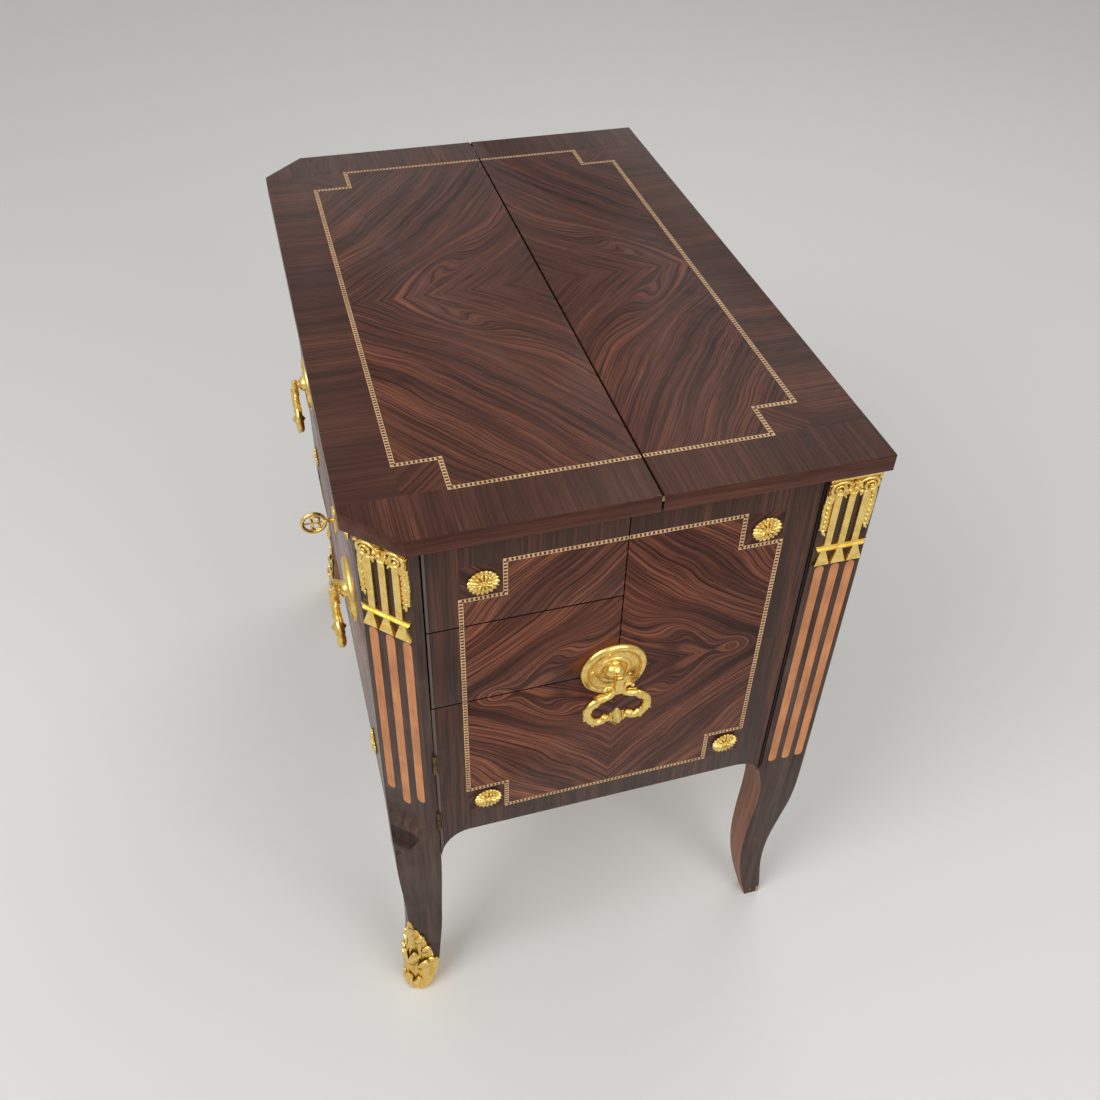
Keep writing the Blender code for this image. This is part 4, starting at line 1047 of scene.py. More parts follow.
class RingRecipe(Recipe):
    """Copies in a ring, each turned to look outward."""

    def __init__(self) -> None:
        """Build the tree."""
        super().__init__("copies_in_ring", {
            "Shape": "NodeSocketObject", "Count": "NodeSocketInt", "Radius": "NodeSocketFloat",
            "Turn": "NodeSocketFloat", "Finish": "NodeSocketMaterial"})
        ring = self.node("GeometryNodeMeshCircle",
                         sockets={"Vertices": self.entry["Count"], "Radius": self.entry["Radius"]})
        angle = self.index() / self.entry["Count"] * math.tau + self.entry["Turn"]
        euler = self.node("ShaderNodeCombineXYZ", sockets={2: angle})
        shape = self.node("GeometryNodeObjectInfo", sockets={0: self.entry["Shape"]})
        copies = self.node("GeometryNodeInstanceOnPoints", sockets={
            "Points": ring.outputs[0], "Instance": shape.outputs["Geometry"], "Rotation": euler.outputs[0]})
        self.close(copies.outputs[0])


class Workbench:
    """Tools that the sub-assemblies share."""

    def __init__(self, frame: dict[str, object]) -> None:
        """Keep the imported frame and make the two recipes."""
        self.nodes: dict[str, Piece] = frame["nodes"]
        self.runs = RunRecipe()
        self.ring = RingRecipe()
        self.count = 0

    def piece(self, name: str, shape: Shape | Mesh, *finishes: Finish) -> Piece:
        """Make an object from a shape and its finishes."""
        mesh = shape if isinstance(shape, Mesh) else shape.as_mesh(name)
        for finish in finishes:
            mesh.materials.append(finish.material())
        piece = bpy.data.objects.new(name, mesh)
        bpy.context.scene.collection.objects.link(piece)
        return piece

    def settle(self, piece: Piece) -> Piece:
        """Turn an object with its modifiers into a plain mesh."""
        graph = bpy.context.evaluated_depsgraph_get()
        mesh = bpy.data.meshes.new_from_object(piece.evaluated_get(graph))
        piece.modifiers.clear()
        old = piece.data
        piece.data = mesh
        bpy.data.meshes.remove(old)
        return piece

    def ease(self, piece: Piece, width: float, segments: int = 2, angle: float = 32.0,
             smooth: float = 40.0) -> Piece:
        """Round the sharp edges of a piece and shade it smooth.

        Args:
            piece: Object to ease.
            width: Width of the round.
            segments: Faces across the round.
            angle: Edges sharper than this are rounded, in degrees.
            smooth: Edges below this angle are shaded smooth.

        Returns:
            The piece.
        """
        if width > 0.0:
            bevel = piece.modifiers.new("ease", "BEVEL")
            bevel.width = width
            bevel.segments = segments
            bevel.limit_method = "ANGLE"
            bevel.angle_limit = math.radians(angle)
            self.settle(piece)
        piece.data.shade_smooth()
        piece.data.set_sharp_from_angle(angle=math.radians(smooth))
        return piece

    def cut(self, piece: Piece, boxes: Sequence[Box]) -> Piece:
        """Cut pockets out of a piece."""
        for low, high in boxes:
            cutter = self.piece("cutter", Shape().box(low, high))
            cutting = piece.modifiers.new("pocket", "BOOLEAN")
            cutting.operation = "DIFFERENCE"
            cutting.solver = "EXACT"
            cutting.object = cutter
            self.settle(piece)
            bpy.data.objects.remove(cutter)
        return piece

    def pocket(self, node: str, clear: float) -> Box:
        """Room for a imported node, a little larger than it."""
        low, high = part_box(node)
        margin = Vector((clear, clear, clear))
        return Vector(low) - margin, Vector(high) + margin

    def hinge_pockets(self, hand: str) -> list[Box]:
        """Room for the flaps of both door hinges of one side."""
        return [self.pocket(f"{hand}_{place}_hinge_{flap}", 0.4 * MM) for place in TIERS for flap in FLAPS]

    def face_finish(self, piece: Piece, choose: Callable[[Vector, Vector], int]) -> Piece:
        """Give each face a finish from its normal and middle."""
        for face in piece.data.polygons:
            face.material_index = choose(face.normal, face.center)
        return piece

    def copies(self, recipe: Recipe, shape: Shape, finish: Finish, wire: Sequence[Sequence[Point3]] = (),
               **values: float) -> Mesh:
        """Grow copies of a shape with a recipe.

        Args:
            recipe: Tree that sets the copies out.
            shape: Shape that is repeated.
            finish: Finish of all copies.
            wire: Runs for the copies to follow.
            values: Other inputs of the tree, by name.

        Returns:
            A plain mesh with all copies.
        """
        pattern = self.piece("pattern", shape.merged())
        points = [p for run in wire for p in run]
        edges = []
        start = 0
        for run in wire:
            edges += [(start + i, start + i + 1) for i in range(len(run) - 1)]
            start += len(run)
        mesh = bpy.data.meshes.new("wire")
        mesh.from_pydata(points, edges, [])
        host = bpy.data.objects.new("host", mesh)
        bpy.context.scene.collection.objects.link(host)
        recipe.grow(host, {"Shape": pattern, "Finish": finish.material(), **values})
        self.settle(host)
        grown = host.data
        bpy.data.objects.remove(host)
        bpy.data.objects.remove(pattern)
        return grown

    def gild(self, name: str, shape: Shape, smooth: float, gain: float,
             depth: Callable[[Vector], float] | None = None) -> Piece:
        """Make a gilt piece and write how hollow each of its points lies, for the patina.

        Args:
            name: Name of the piece.
            shape: Its shape.
            smooth: Edges below this angle are shaded smooth, in degrees.
            gain: How strongly a crease counts.
            depth: Extra share from the place of a point.

        Returns:
            The piece, not yet riding on a body.
        """
        piece = self.ease(self.piece(name, shape, GILT), 0.0, smooth=smooth)
        form = bmesh.new()
        form.from_mesh(piece.data)
        form.normal_update()
        marks = []
        for vert in form.verts:
            lift = 0.0
            for edge in vert.link_edges:
                step = edge.other_vert(vert).co - vert.co
                lift += step.dot(vert.normal) / max(step.length, 1e-9)
            mark = gain * lift / max(len(vert.link_edges), 1)
            marks.append(mark + (depth(vert.co) if depth else 0.0))
        form.free()
        layer = piece.data.attributes.new("hollow", "FLOAT", "POINT")
        layer.data.foreach_set("value", marks)
        return piece

    def hang(self, piece: Piece, body: str, slot: str, *nodes: str) -> Piece:
        """Let a piece ride on a body, and stand for the nodes named."""
        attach(piece, body)
        if nodes:
            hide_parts(*nodes)
        self.count += 1
        LOG.info("%s rides on %s, %d faces", piece.name, body, len(piece.data.polygons))
        return piece

    def eased_node(self, node: str, finish: Finish, slot: str, width: float = 0.0006) -> Piece:
        """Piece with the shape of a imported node, its edges rounded."""
        source = self.nodes[node]
        shape = Shape()
        shape.bm.from_mesh(source.data)
        bmesh.ops.remove_doubles(shape.bm, verts=shape.bm.verts, dist=1e-6)
        bmesh.ops.dissolve_limit(shape.bm, angle_limit=math.radians(1.0), verts=shape.bm.verts,
                                 edges=shape.bm.edges)
        piece = self.ease(self.piece(f"{node}_piece", shape, finish), width)
        return self.hang(piece, source.parent.name.split(":")[1], slot, node)


@dataclass
class Stringing:
    """Dotted stringing: a pale band with dark squares, edged by dark lines."""

    band: float = 4.7 * MM
    edge: float = 0.55 * MM
    square: Point2 = (2.10 * MM, 3.40 * MM)
    pitch: float = 4.25 * MM
    step: float = 0.035 * MM

    def build(self, bench: Workbench, name: str, run: Sequence[Point2], frame: Matrix, side: Side) -> Piece:
        """Make the stringing of one board.

        Args:
            bench: Shared tools.
            name: Name of the piece.
            run: Middle line on the face.
            frame: Frame of the face.
            side: Half of the desk.

        Returns:
            The piece, not yet riding on a body.
        """
        shape = Shape()
        half = (self.square[0] / 2, self.square[1] / 2)
        tile = Shape().box((-half[0], -half[1], -self.step), (half[0], half[1], self.step))
        self.strip(shape, run, self.band / 2 + self.edge, 1.0, 1)
        self.strip(shape, run, self.band / 2, 2.0, 0)
        spans: list[list[Point3]] = []
        for a, b in zip(run, run[1:]):
            start, end = Vector(a), Vector(b)
            inset = (end - start).normalized() * self.pitch / 2
            start, end = start + inset, end - inset
            if (end - start).length > self.pitch:
                spans.append([(start.x, start.y, 2.0 * self.step), (end.x, end.y, 2.0 * self.step)])
        squares = bench.copies(bench.runs, tile, STRING_DARK_AND_SHADOW, spans, Pitch=self.pitch)
        for face in squares.polygons:
            face.material_index = 1
        shape.add(squares)
        bpy.data.meshes.remove(squares)
        shape.moved(frame).sided(side)
        return bench.piece(name, shape, STRING_LIGHT, STRING_DARK_AND_SHADOW)

    def strip(self, shape: Shape, run: Sequence[Point2], half: float, level: float, finish: int) -> None:
        """Add one flat band with mitred corners.

        Args:
            shape: Shape that takes the band.
            run: Its middle line.
            half: Half its width.
            level: Its height, in steps.
            finish: Place of its finish in the piece's list.
        """
        points = [Vector(p) for p in run]
        ways = [(b - a).normalized() for a, b in zip(points, points[1:])]
        rings = []
        for i, p in enumerate(points):
            before = ways[max(i - 1, 0)]
            after = ways[min(i, len(ways) - 1)]
            left = Vector((-before.y - after.y, before.x + after.x))
            left = left / max(left.length_squared / 2, 1e-9)
            low, high = -0.0002, level * self.step
            a, b = p + left * half, p - left * half
            rings.append([(a.x, a.y, low), (b.x, b.y, low), (b.x, b.y, high), (a.x, a.y, high)])
        shape.add(Shape().rings(rings, finish).merged())


class Rosette:
    """Gilt flower of two rows of petals round a cluster of beads."""

    def __init__(self, bench: Workbench) -> None:
        """Make the flower once; each place gets a copy."""
        shape = Shape(MM).turned(((14.2, -0.3), (14.2, 0.8), (13.0, 1.2), (9.0, 1.7), (6.2, 2.2), (4.8, 2.2),
                                  (3.8, 1.3), (0.0, 1.3)), 40)
        outer = Shape(MM).leaf(11.6, 4.9, 2.1, 0.3, rows=9, columns=6, blunt=True)
        shape.add(bench.copies(bench.ring, outer, GILT, Count=19, Radius=4.0 * MM), shift(0, 0, 1.0))
        inner = Shape(MM).leaf(6.6, 4.4, 1.9, 0.5, rows=8, columns=6, blunt=True)
        shape.add(bench.copies(bench.ring, inner, GILT, Count=11, Radius=3.5 * MM, Turn=0.13), shift(0, 0, 2.4))
        bead = Shape(MM).ball((0, 0, 0), 1.25, 6)
        shape.add(bench.copies(bench.ring, bead, GILT, Count=7, Radius=2.3 * MM), shift(0, 0, 3.4))
        shape.ball((0, 0, 4.2), 1.6)
        self.mesh = shape.merged().as_mesh("rosette")

    def place(self, bench: Workbench, name: str, frame: Matrix, side: Side, body: str) -> Piece:
        """Set a flower on a board."""
        shape = Shape().add(self.mesh, frame).sided(side)
        back = frame.inverted()

        def depth(point: Vector) -> float:
            """Hollow share from how low a point lies in its row of petals."""
            local = back @ Vector((point.x * side.value, point.y, point.z))
            foot = 1.1 + 1.35 * (1.0 - stepped(8.6, 10.4, local.xy.length / MM))
            return min(max(1.15 - (local.z / MM - foot) / 1.35, -0.15), 1.0)

        return bench.hang(bench.gild(name, shape, 50.0, 0.6, depth), body, "gilt")


@dataclass
class WritingTop:
    """Two leaves of the top with their banding and stringing."""

    thickness: float = 0.019
    chamfer: float = 0.050
    half: Point2 = TOP_FIELD
    notch: float = TOP_NOTCH
    round: float = 0.7 * MM
    inset: float = 0.1 * MM

    def build(self, bench: Workbench) -> None:
        """Make and hang both leaves."""
        c = self.chamfer
        front = [(HALF_W, LEAF_FRONT_EDGE), (-HALF_W, LEAF_FRONT_EDGE), (-HALF_W, c - HALF_D),
                 (c - HALF_W, -HALF_D), (HALF_W - c, -HALF_D), (HALF_W, c - HALF_D)]
        rear = [(HALF_W, LEAF_REAR_EDGE), (HALF_W, HALF_D), (-HALF_W, HALF_D), (-HALF_W, LEAF_REAR_EDGE)]
        u, v = self.half
        n = self.notch
        for label, outline, body, edge, far in (
                ("front", front, "folding_leaf", LEAF_FRONT_EDGE - self.inset, -v),
                ("rear", rear, "case", LEAF_REAR_EDGE + self.inset, v)):
            self.leaf(bench, label, outline, body)
            step = math.copysign(n, far)
            run = [(u, edge), (u, far - step), (u - n, far - step), (u - n, far), (n - u, far),
                   (n - u, far - step), (-u, far - step), (-u, edge)]
            piece = Stringing().build(bench, f"{label}_leaf_stringing", run, TOP_FRAME, Side.RIGHT)
            bench.hang(piece, body, "veneer")

    def leaf(self, bench: Workbench, label: str, outline: Sequence[Point2], body: str) -> None:
        """Make one leaf with pockets for its hinge plates.

        Args:
            bench: Shared tools.
            label: Front or rear.
            outline: Corners of the leaf.
            body: Body that it rides on.
        """
        shape = Shape().prism(outline, -self.thickness, 0.0).moved(TOP_FRAME)
        piece = bench.piece(f"{label}_leaf_board", shape, TOP_VENEER, EDGE_X, EDGE_Y)
        pockets = []
        for hand in ("right", "left"):
            low, high = bench.pocket(f"{hand}_{label}_leaf_hinge_plate", 0.05 * MM)
            slot_low, slot_high = bench.pocket(f"{hand}_leaf_hinge_link", 0.25 * MM)
            slot_high.z = TOP + 0.01
            if label == "front":
                high.y = slot_high.y = LEAF_FRONT_EDGE + 0.001
            else:
                low.y = slot_low.y = LEAF_REAR_EDGE - 0.001
            pockets += [(low, high), (slot_low, slot_high)]
        bench.cut(piece, pockets)
        bench.ease(piece, self.round, 3)
        bench.face_finish(piece, lambda n, _: 0 if n.z > 0.95 else (2 if abs(n.x) > 0.5 else 1))
        bench.hang(piece, body, "veneer", f"{label}_leaf")


def bracket(corner: Point2, run: float, drop: float, outward: int) -> list[Point2]:
    """Curve of a board's lower edge as it drops to a leg.

    Args:
        corner: Corner of the board, without the drop.
        run: Width of the curve.
        drop: Its depth.
        outward: Direction from the board to the leg.

    Returns:
        Points toward the corner.
    """
    points = arc((0.0, 0.0), (run, drop), 90.0, 0.0, 14)
    return [(corner[0] + outward * (u - run), corner[1] - drop + v) for u, v in points]


@dataclass
class EndBoards:
    """Veneered end of one side: low panel, two drawer fronts, stringing, rosettes."""

    side: Side
    board: float = BOARD
    split: float = 0.0
    cuts: Point2 = (0.666, 0.554)
    gaps: Point2 = (0.6 * MM, 0.8 * MM)
    gap: float = 0.5 * MM
    top: float = DOOR_TOP
    half: Point2 = END_FIELD
    middle: float = FIELD_Z
    notch: float = NOTCH
    run: float = BRACKET_RUN
    drops: Point2 = (FRONT_DROP, REAR_DROP)
    groove: float = BEAD_GROOVE
    rosettes: dict[str, float] = field(default_factory=lambda: {"front": -0.1405, "rear": 0.1435})

    def build(self, bench: Workbench, rosette: Rosette) -> None:
        """Make and hang the boards of this end, with what is on them.

        Args:
            bench: Shared tools.
            rosette: Flower for the corners.
        """
        hand = self.side.hand
        over, under = self.gaps
        front = SEAM_Y + self.gap
        rear = REAR_SEAM_Y - 0.3 * MM - self.groove
        low = self.cuts[1] - under
        head = self.top + 0.3 * MM
        outline = [(front, low), (self.split + self.gap, low), (self.split + self.gap, head), (rear, head)]
        outline += bracket((rear, APRON_Z), self.run, self.drops[1], 1)[::-1]
        outline += bracket((front, APRON_Z), self.run, self.drops[0], -1)
        self.plank(bench, "side_panel", outline[::-1], "case", bench.hinge_pockets(hand))
        y0, y1 = SEAM_Y + 2 * self.gap, self.split - self.gap
        for tier, z0, z1 in (("upper", self.cuts[0] + over, self.top),
                             ("lower", self.cuts[1] + over, self.cuts[0] - under)):
            self.plank(bench, f"{tier}_drawer_front", [(y0, z0), (y1, z0), (y1, z1), (y0, z1)],
                       f"{hand}_{tier}_drawer", [])
        self.string(bench)
        for row, place in (("low", "front"), ("low", "rear"), ("high", "rear"), ("high", "front")):
            spot = seat(END_FRAME, self.rosettes[place], ROSETTE_ROWS[row])
            body = f"{hand}_upper_drawer" if (row, place) == ("high", "front") else "case"
            rosette.place(bench, f"{hand}_end_rosette_{row}_{place}", spot, self.side, body)
        self.bead(bench)

    def plank(self, bench: Workbench, name: str, outline: Sequence[Point2], body: str,
              pockets: Sequence[Box]) -> None:
        """Make one board of the end.

        Args:
            bench: Shared tools.
            name: What the board is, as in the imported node's name.
            outline: Its corners.
            body: Body that it rides on.
            pockets: What is cut out of it.
        """
        hand = self.side.hand
        shape = Shape().prism(outline, -self.board, 0.0).moved(END_FRAME).sided(self.side).merged()
        piece = bench.piece(f"{hand}_{name}_board", shape, END_VENEER, EDGE_PAINTED_SHADE, OAK_Z)
        bench.cut(piece, pockets)
        bench.ease(piece, 0.6 * MM)
        out = self.side.value
        # Narrow edges get the painted shade of the gaps between boards.
        bench.face_finish(piece, lambda n, _: 0 if n.x * out > 0.6 else (2 if n.x * out < -0.9 else 1))
        bench.hang(piece, body, "veneer", f"{hand}_{name}")

    def string(self, bench: Workbench) -> None:
        """Make the stringing, split where the boards part."""
        hand = self.side.hand
        u, v = self.half
        n = self.notch
        z0, z1 = self.middle - v, self.middle + v
        high, low = self.cuts
        gap = self.gaps[0]
        runs = {
            "upper_drawer": (f"{hand}_upper_drawer", [(-gap, z1), (n - u, z1), (n - u, z1 - n), (-u, z1 - n),
                                                      (-u, high + gap)]),
            "lower_drawer": (f"{hand}_lower_drawer", [(-u, high - gap), (-u, low + gap)]),
            "panel": ("case", [(gap, z1), (u - n, z1), (u - n, z1 - n), (u, z1 - n), (u, z0 + n), (u - n, z0 + n),
                               (u - n, z0), (n - u, z0), (n - u, z0 + n), (-u, z0 + n), (-u, low - gap)])}
        for label, (body, run) in runs.items():
            piece = Stringing().build(bench, f"{hand}_{label}_stringing", run, END_FRAME, self.side)
            bench.hang(piece, body, "veneer")

    def bead(self, bench: Workbench) -> None:
        """Make the bead that runs in the groove beside the rear post, with the groove's floor; both are painted dark as
        the groove's shade.
        """
        y = REAR_SEAM_Y
        low, foot, length, steps = 0.3052, 0.3085, 0.471, 40
        # The groove floor is a near-black strip in the dark inlay finish: painted shadow of the groove.
        shape = Shape().box((y - 3.2 * MM, low, -6.0 * MM), (y + 3.2 * MM, self.top, -4.2 * MM), 1)
        path = [(y, foot + i * length / steps, -1.6 * MM) for i in range(steps + 1)]
        shape.tube(path, [0.5 * MM] + [1.35 * MM] * steps, 12)
        shape.moved(END_FRAME).sided(self.side)
        piece = bench.ease(bench.piece(f"{self.side.hand}_end_bead", shape, EDGE_PAINTED_SHADE, STRING_DARK_AND_SHADOW), 0.0)
        bench.hang(piece, "case", "post_wood")


@dataclass(frozen=True)
class Flutes:
    """Inlaid flutes of a post: pale strips with rounded ends and a dark line round each."""

    places: tuple[float, ...]
    tops: tuple[float, ...]
    feet: tuple[float, ...]
    width: float = 10.2 * MM
    line: float = 0.55 * MM

    def build(self, bench: Workbench, name: str, frame: Matrix, side: Side) -> Piece:
        """Make the strips of one post face.

        Args:
            bench: Shared tools.
            name: Name of the piece.
            frame: Frame of the face.
            side: Half of the desk.

        Returns:
            The piece, not yet riding on a body.
        """
        shape = Shape()
        for u, top, foot in zip(self.places, self.tops, self.feet):
            for grow, level, finish in ((self.line, 0.05 * MM, 1), (0.0, 0.16 * MM, 0)):
                half = self.width / 2 + grow
                outline = arc((u, top - self.width / 2), (half, half), 0.0, 180.0, 12)
                outline += arc((u, foot + self.width / 2), (half, half), 180.0, 360.0, 12)
                shape.prism(outline, -0.6 * MM, level, finish)
        shape.moved(frame).sided(side).merged()
        return bench.ease(bench.piece(name, shape, FLUTE_WOOD, STRING_DARK_AND_SHADOW), 0.05 * MM, 1)


@dataclass
class RearPost:
    """Rear post with its cabriole leg, flutes and chute."""

    side: Side
    levels: int = 64
    knee: float = APRON_Z - REAR_DROP
    groove: float = BEAD_GROOVE
    groove_foot: float = 0.306
    groove_rise: float = 10.0 * MM
    flutes: Flutes = Flutes((0.2148, 0.2325, 0.2500), (0.652,) * 3, (0.3176,) * 3)
    toe_pin: Point2 = (0.2315, 0.011)
    mount_y: float = 0.2305
    front_edge: Stations = ((0.0, 0.0248), (0.15, 0.0135), (0.28, 0.0075), (0.40, 0.0058), (0.56, 0.0078),
                                      (0.70, 0.0102), (0.81, 0.0102), (0.89, 0.0078), (0.95, 0.0034), (1.0, 0.0))
    rear_edge: Stations = ((0.0, 0.0145), (0.08, 0.0158), (0.22, 0.0200), (0.34, 0.0204), (0.45, 0.0165),
                                     (0.56, 0.0096), (0.68, 0.0028), (0.80, 0.0), (1.0, 0.0))
    outer_face: Stations = ((0.0, 0.0), (0.25, 0.0035), (0.55, 0.0045), (0.85, 0.0010), (1.0, 0.0))
    inner_face: Stations = ((0.0, 0.0225), (0.12, 0.0150), (0.28, 0.0075), (0.48, 0.0022), (0.70, 0.0),
                                      (1.0, 0.0))
    chip: Point2 = (4.6 * MM, 12.0 * MM)

    def build(self, bench: Workbench, chute: Chute) -> None:
        """Make and hang the post, its flutes, toe pin and chute.

        Args:
            bench: Shared tools.
            chute: Mount below the top.
        """
        hand = self.side.hand
        rings = []
        heights = sorted([self.knee * i / self.levels for i in range(self.levels + 1)] + [self.chip[1]])
        heights += [self.groove_foot + (i - 0.5) * MM for i in range(1, 14)] + [TOP_UNDER - 0.3 * MM]
        for z in heights:
            t = min(z / self.knee, 1.0)
            step = min(max((z - self.groove_foot) / self.groove_rise, 0.0), 1.0)
            y0 = REAR_SEAM_Y + eased(self.front_edge, t) + self.groove * step
            y1 = HALF_D - eased(self.rear_edge, t)
            x0 = REAR_POST_X + eased(self.inner_face, t)
            x1 = BODY_X - eased(self.outer_face, t)
            rings.append([(x0, y0, z), (x1, y0, z), (x1, y1 - self.chip[0], z), (x1, y1, z), (x0, y1, z)])
        shape = Shape().rings(rings).sided(self.side).merged()
        piece = bench.piece(f"{hand}_rear_post_leg", shape, POST_WOOD, BARE_WOOD, FLUTE_WOOD)
        bench.ease(piece, 1.0 * MM, 3, 50.0)
        out = self.side.value
        worn = HALF_D - self.rear_edge[0][1] - self.chip[0]

        def choose(normal: Vector, middle: Vector) -> int:
            """Bare wood inside, a chipped corner at the toe, polished wood elsewhere."""
            if middle.z < self.chip[1] and middle.y > worn and normal.z > -0.5 and normal.x * out > 0.3:
                return 2
            return 1 if normal.x * out < -0.8 or (normal.y < -0.6 and middle.z < 0.30) else 0

        bench.face_finish(piece, choose)
        bench.hang(piece, "case", "post_wood", f"{hand}_rear_post")
        bench.hang(self.flutes.build(bench, f"{hand}_rear_flutes", END_FRAME, self.side), "case", "post_wood")
        pin = Shape(MM).turned(((1.9, -1.0), (1.9, 0.3), (1.4, 0.7), (0.0, 0.8)), 16)
        pin.moved(seat(END_FRAME, *self.toe_pin)).sided(self.side).merged()
        piece = bench.ease(bench.piece(f"{hand}_rear_toe_pin", pin, BRASS), 0.0)
        bench.hang(piece, "case", "brass")
        chute.place(bench, f"{hand}_rear_chute", seat(END_FRAME, self.mount_y, MOUNT_FOOT), self.side, "case")


@dataclass
class FrontPost:
    """Canted front post that dies into a square cabriole leg with a gilt shoe."""

    side: Side
    levels: int = 56
    knee: float = APRON_Z - FRONT_DROP
    tongue_foot: float = 0.3345
    tongue_rise: float = 0.025
    sweep: float = 0.369
    sole: float = 0.044
    flutes: Flutes = Flutes((-0.0196, 0.0, 0.0196), (0.651,) * 3, (0.389, 0.373, 0.389))
    corner: Stations = ((0.0, -0.0050), (0.10, -0.0035), (0.30, 0.0048), (0.50, 0.0060), (0.70, 0.0042),
                                  (0.90, 0.0008), (1.0, 0.0), (1.35, 0.0))
    inner_x: Stations = ((0.0, 0.0160), (0.15, 0.0090), (0.35, 0.0), (0.60, -0.0035), (0.85, -0.0015),
                                   (1.0, 0.0), (1.35, 0.0))
    inner_y: Stations = ((0.0, 0.0190), (0.18, 0.0120), (0.40, 0.0050), (0.62, 0.0025), (0.85, 0.0006),
                                   (1.0, 0.0), (1.35, 0.0))
    leaves: tuple[tuple[float, float, float, float, float], ...] = (
        (0.05, 0.80, 97.0, 25.0, 11.0), (0.24, 0.75, 74.0, 20.0, 14.0), (0.46, 0.71, 62.0, 17.0, 13.0),
        (0.68, 0.66, 54.0, 12.0, 12.0), (0.13, 0.40, 84.0, 31.0, 16.0), (0.41, 0.38, 68.0, 23.0, 16.0),
        (0.05, 0.12, 92.0, 25.0, 13.0), (0.31, 0.12, 82.0, 21.0, 13.0))

    def corners(self, z: float) -> tuple[float, float, float, float]:
        """Sides of the square leg at a height: inner x, outer x, front y, rear y."""
        t = min(z / self.knee, 1.35)
        inset = eased(self.corner, t)
        return (POST_X + eased(self.inner_x, t), BODY_X - inset, BODY_FRONT + inset,
                SEAM_Y - 0.0005 - eased(self.inner_y, t))

    def cant_at(self, z: float) -> float:
        """Width of the cant along each face at a height."""
        full = CANT - (BODY_X - self.corners(z)[1])
        sweep = min(max((self.sweep - z) / (self.sweep - self.tongue_foot), 0.0), 1.0)
        drop = min(max((self.tongue_foot - z) / self.tongue_rise, 0.0), 1.0)
        return max(full * (1 - 0.34 * sweep * sweep) * math.sqrt(1 - drop * drop), 0.0)

    def build(self, bench: Workbench, chute: Chute) -> None:
        """Make and hang the post, its flutes, shoe and chute.

        Args:
            bench: Shared tools.
            chute: Mount below the top.
        """
        hand = self.side.hand
        body = f"{hand}_door"
        tip = self.tongue_foot - self.tongue_rise
        heights = [self.sole + (tip - self.sole) * i / self.levels for i in range(self.levels)]
        heights += [tip + self.tongue_rise * i / 28 for i in range(29)]
        heights += [self.tongue_foot + 0.0035 * i for i in range(1, 19)] + [DOOR_TOP]
        rings = []
        for z in heights:
            x0, x1, y0, y1 = self.corners(z)
            c = self.cant_at(z)
            rings.append([(x0, y0, z), (x1 - c, y0, z), (x1, y0 + c, z), (x1, y1, z), (x0, y1, z)])
        shape = Shape().rings(rings).sided(self.side).merged()
        piece = bench.piece(f"{hand}_front_post_leg", shape, POST_WOOD, BARE_WOOD, TONGUE_PAINTED_SHADE)
        bench.cut(piece, bench.hinge_pockets(hand))
        bench.ease(piece, 0.9 * MM, 3, 22.0, 30.0)
        out = self.side.value

        def choose(normal: Vector, middle: Vector) -> int:
            """Bare wood inside, painted shade on the tongue's downward facet, polished wood elsewhere."""
            if tip < middle.z < self.tongue_foot and (normal.x * out - normal.y) * ROOT_HALF > 0.45 and normal.z > 0.04:
                return 2
            return 1 if normal.x * out < -0.8 or (normal.y > 0.6 and middle.z < 0.32) else 0

        bench.face_finish(piece, choose)
        bench.hang(piece, body, "post_wood", f"{hand}_front_post")
        bench.hang(self.flutes.build(bench, f"{hand}_front_flutes", CANT_FRAME, self.side), body, "post_wood")
        self.shoe(bench)
        chute.place(bench, f"{hand}_front_chute", seat(CANT_FRAME, 0.0, MOUNT_FOOT), self.side, body)

    def shoe(self, bench: Workbench) -> None:
        """Make the leaf-shaped shoe round the foot."""
        hand = self.side.hand
        across, up = 24, 48
        rings = []
        for row in range(up + 1):
            rise = 0.5 - 0.5 * math.cos(math.pi * row / up)
            rings.append([self.shoe_point(face, k / across, rise) for face in range(4) for k in range(across)])
        middle = [sum(p[i] for p in rings[-1]) / len(rings[-1]) for i in range(2)]
        rings.append([(x + (middle[0] - x) * 0.25, y + (middle[1] - y) * 0.25, z - 3.0 * MM) for x, y, z in rings[-1]])
        shape = Shape().rings(rings).merged()
        for away, rise, lean, length, width in self.leaves:
            leaf = Shape(MM).leaf(length, width, 2.3, 2.2, rows=10, columns=8).merged().as_mesh("leaf")
            for face in (1, 2):
                shape.add(leaf, self.leaf_place(face, away, rise, math.radians(lean)))
            bpy.data.meshes.remove(leaf)
        shape.sided(self.side)

        def depth(point: Vector) -> float:
            """Hollow share from how far a point stands out from the leg."""
            x0, x1, y0, y1 = self.corners(point.z)
            x = point.x * self.side.value
            proud = max(x - x1, y0 - point.y)
            if proud < max(x0 - x, point.y - y1):
                return 0.05
            plain = stepped(0.55, 0.75, (point.y - y0) / (y1 - y0))
            return min(max((0.55 - (proud / MM - 0.8) / 2.2) * (1 - plain), -0.1), 0.8)

        piece = bench.gild(f"{hand}_front_shoe", shape, 55.0, 1.2, depth)
        bench.hang(piece, f"{hand}_door", "gilt", f"{hand}_front_sabot")

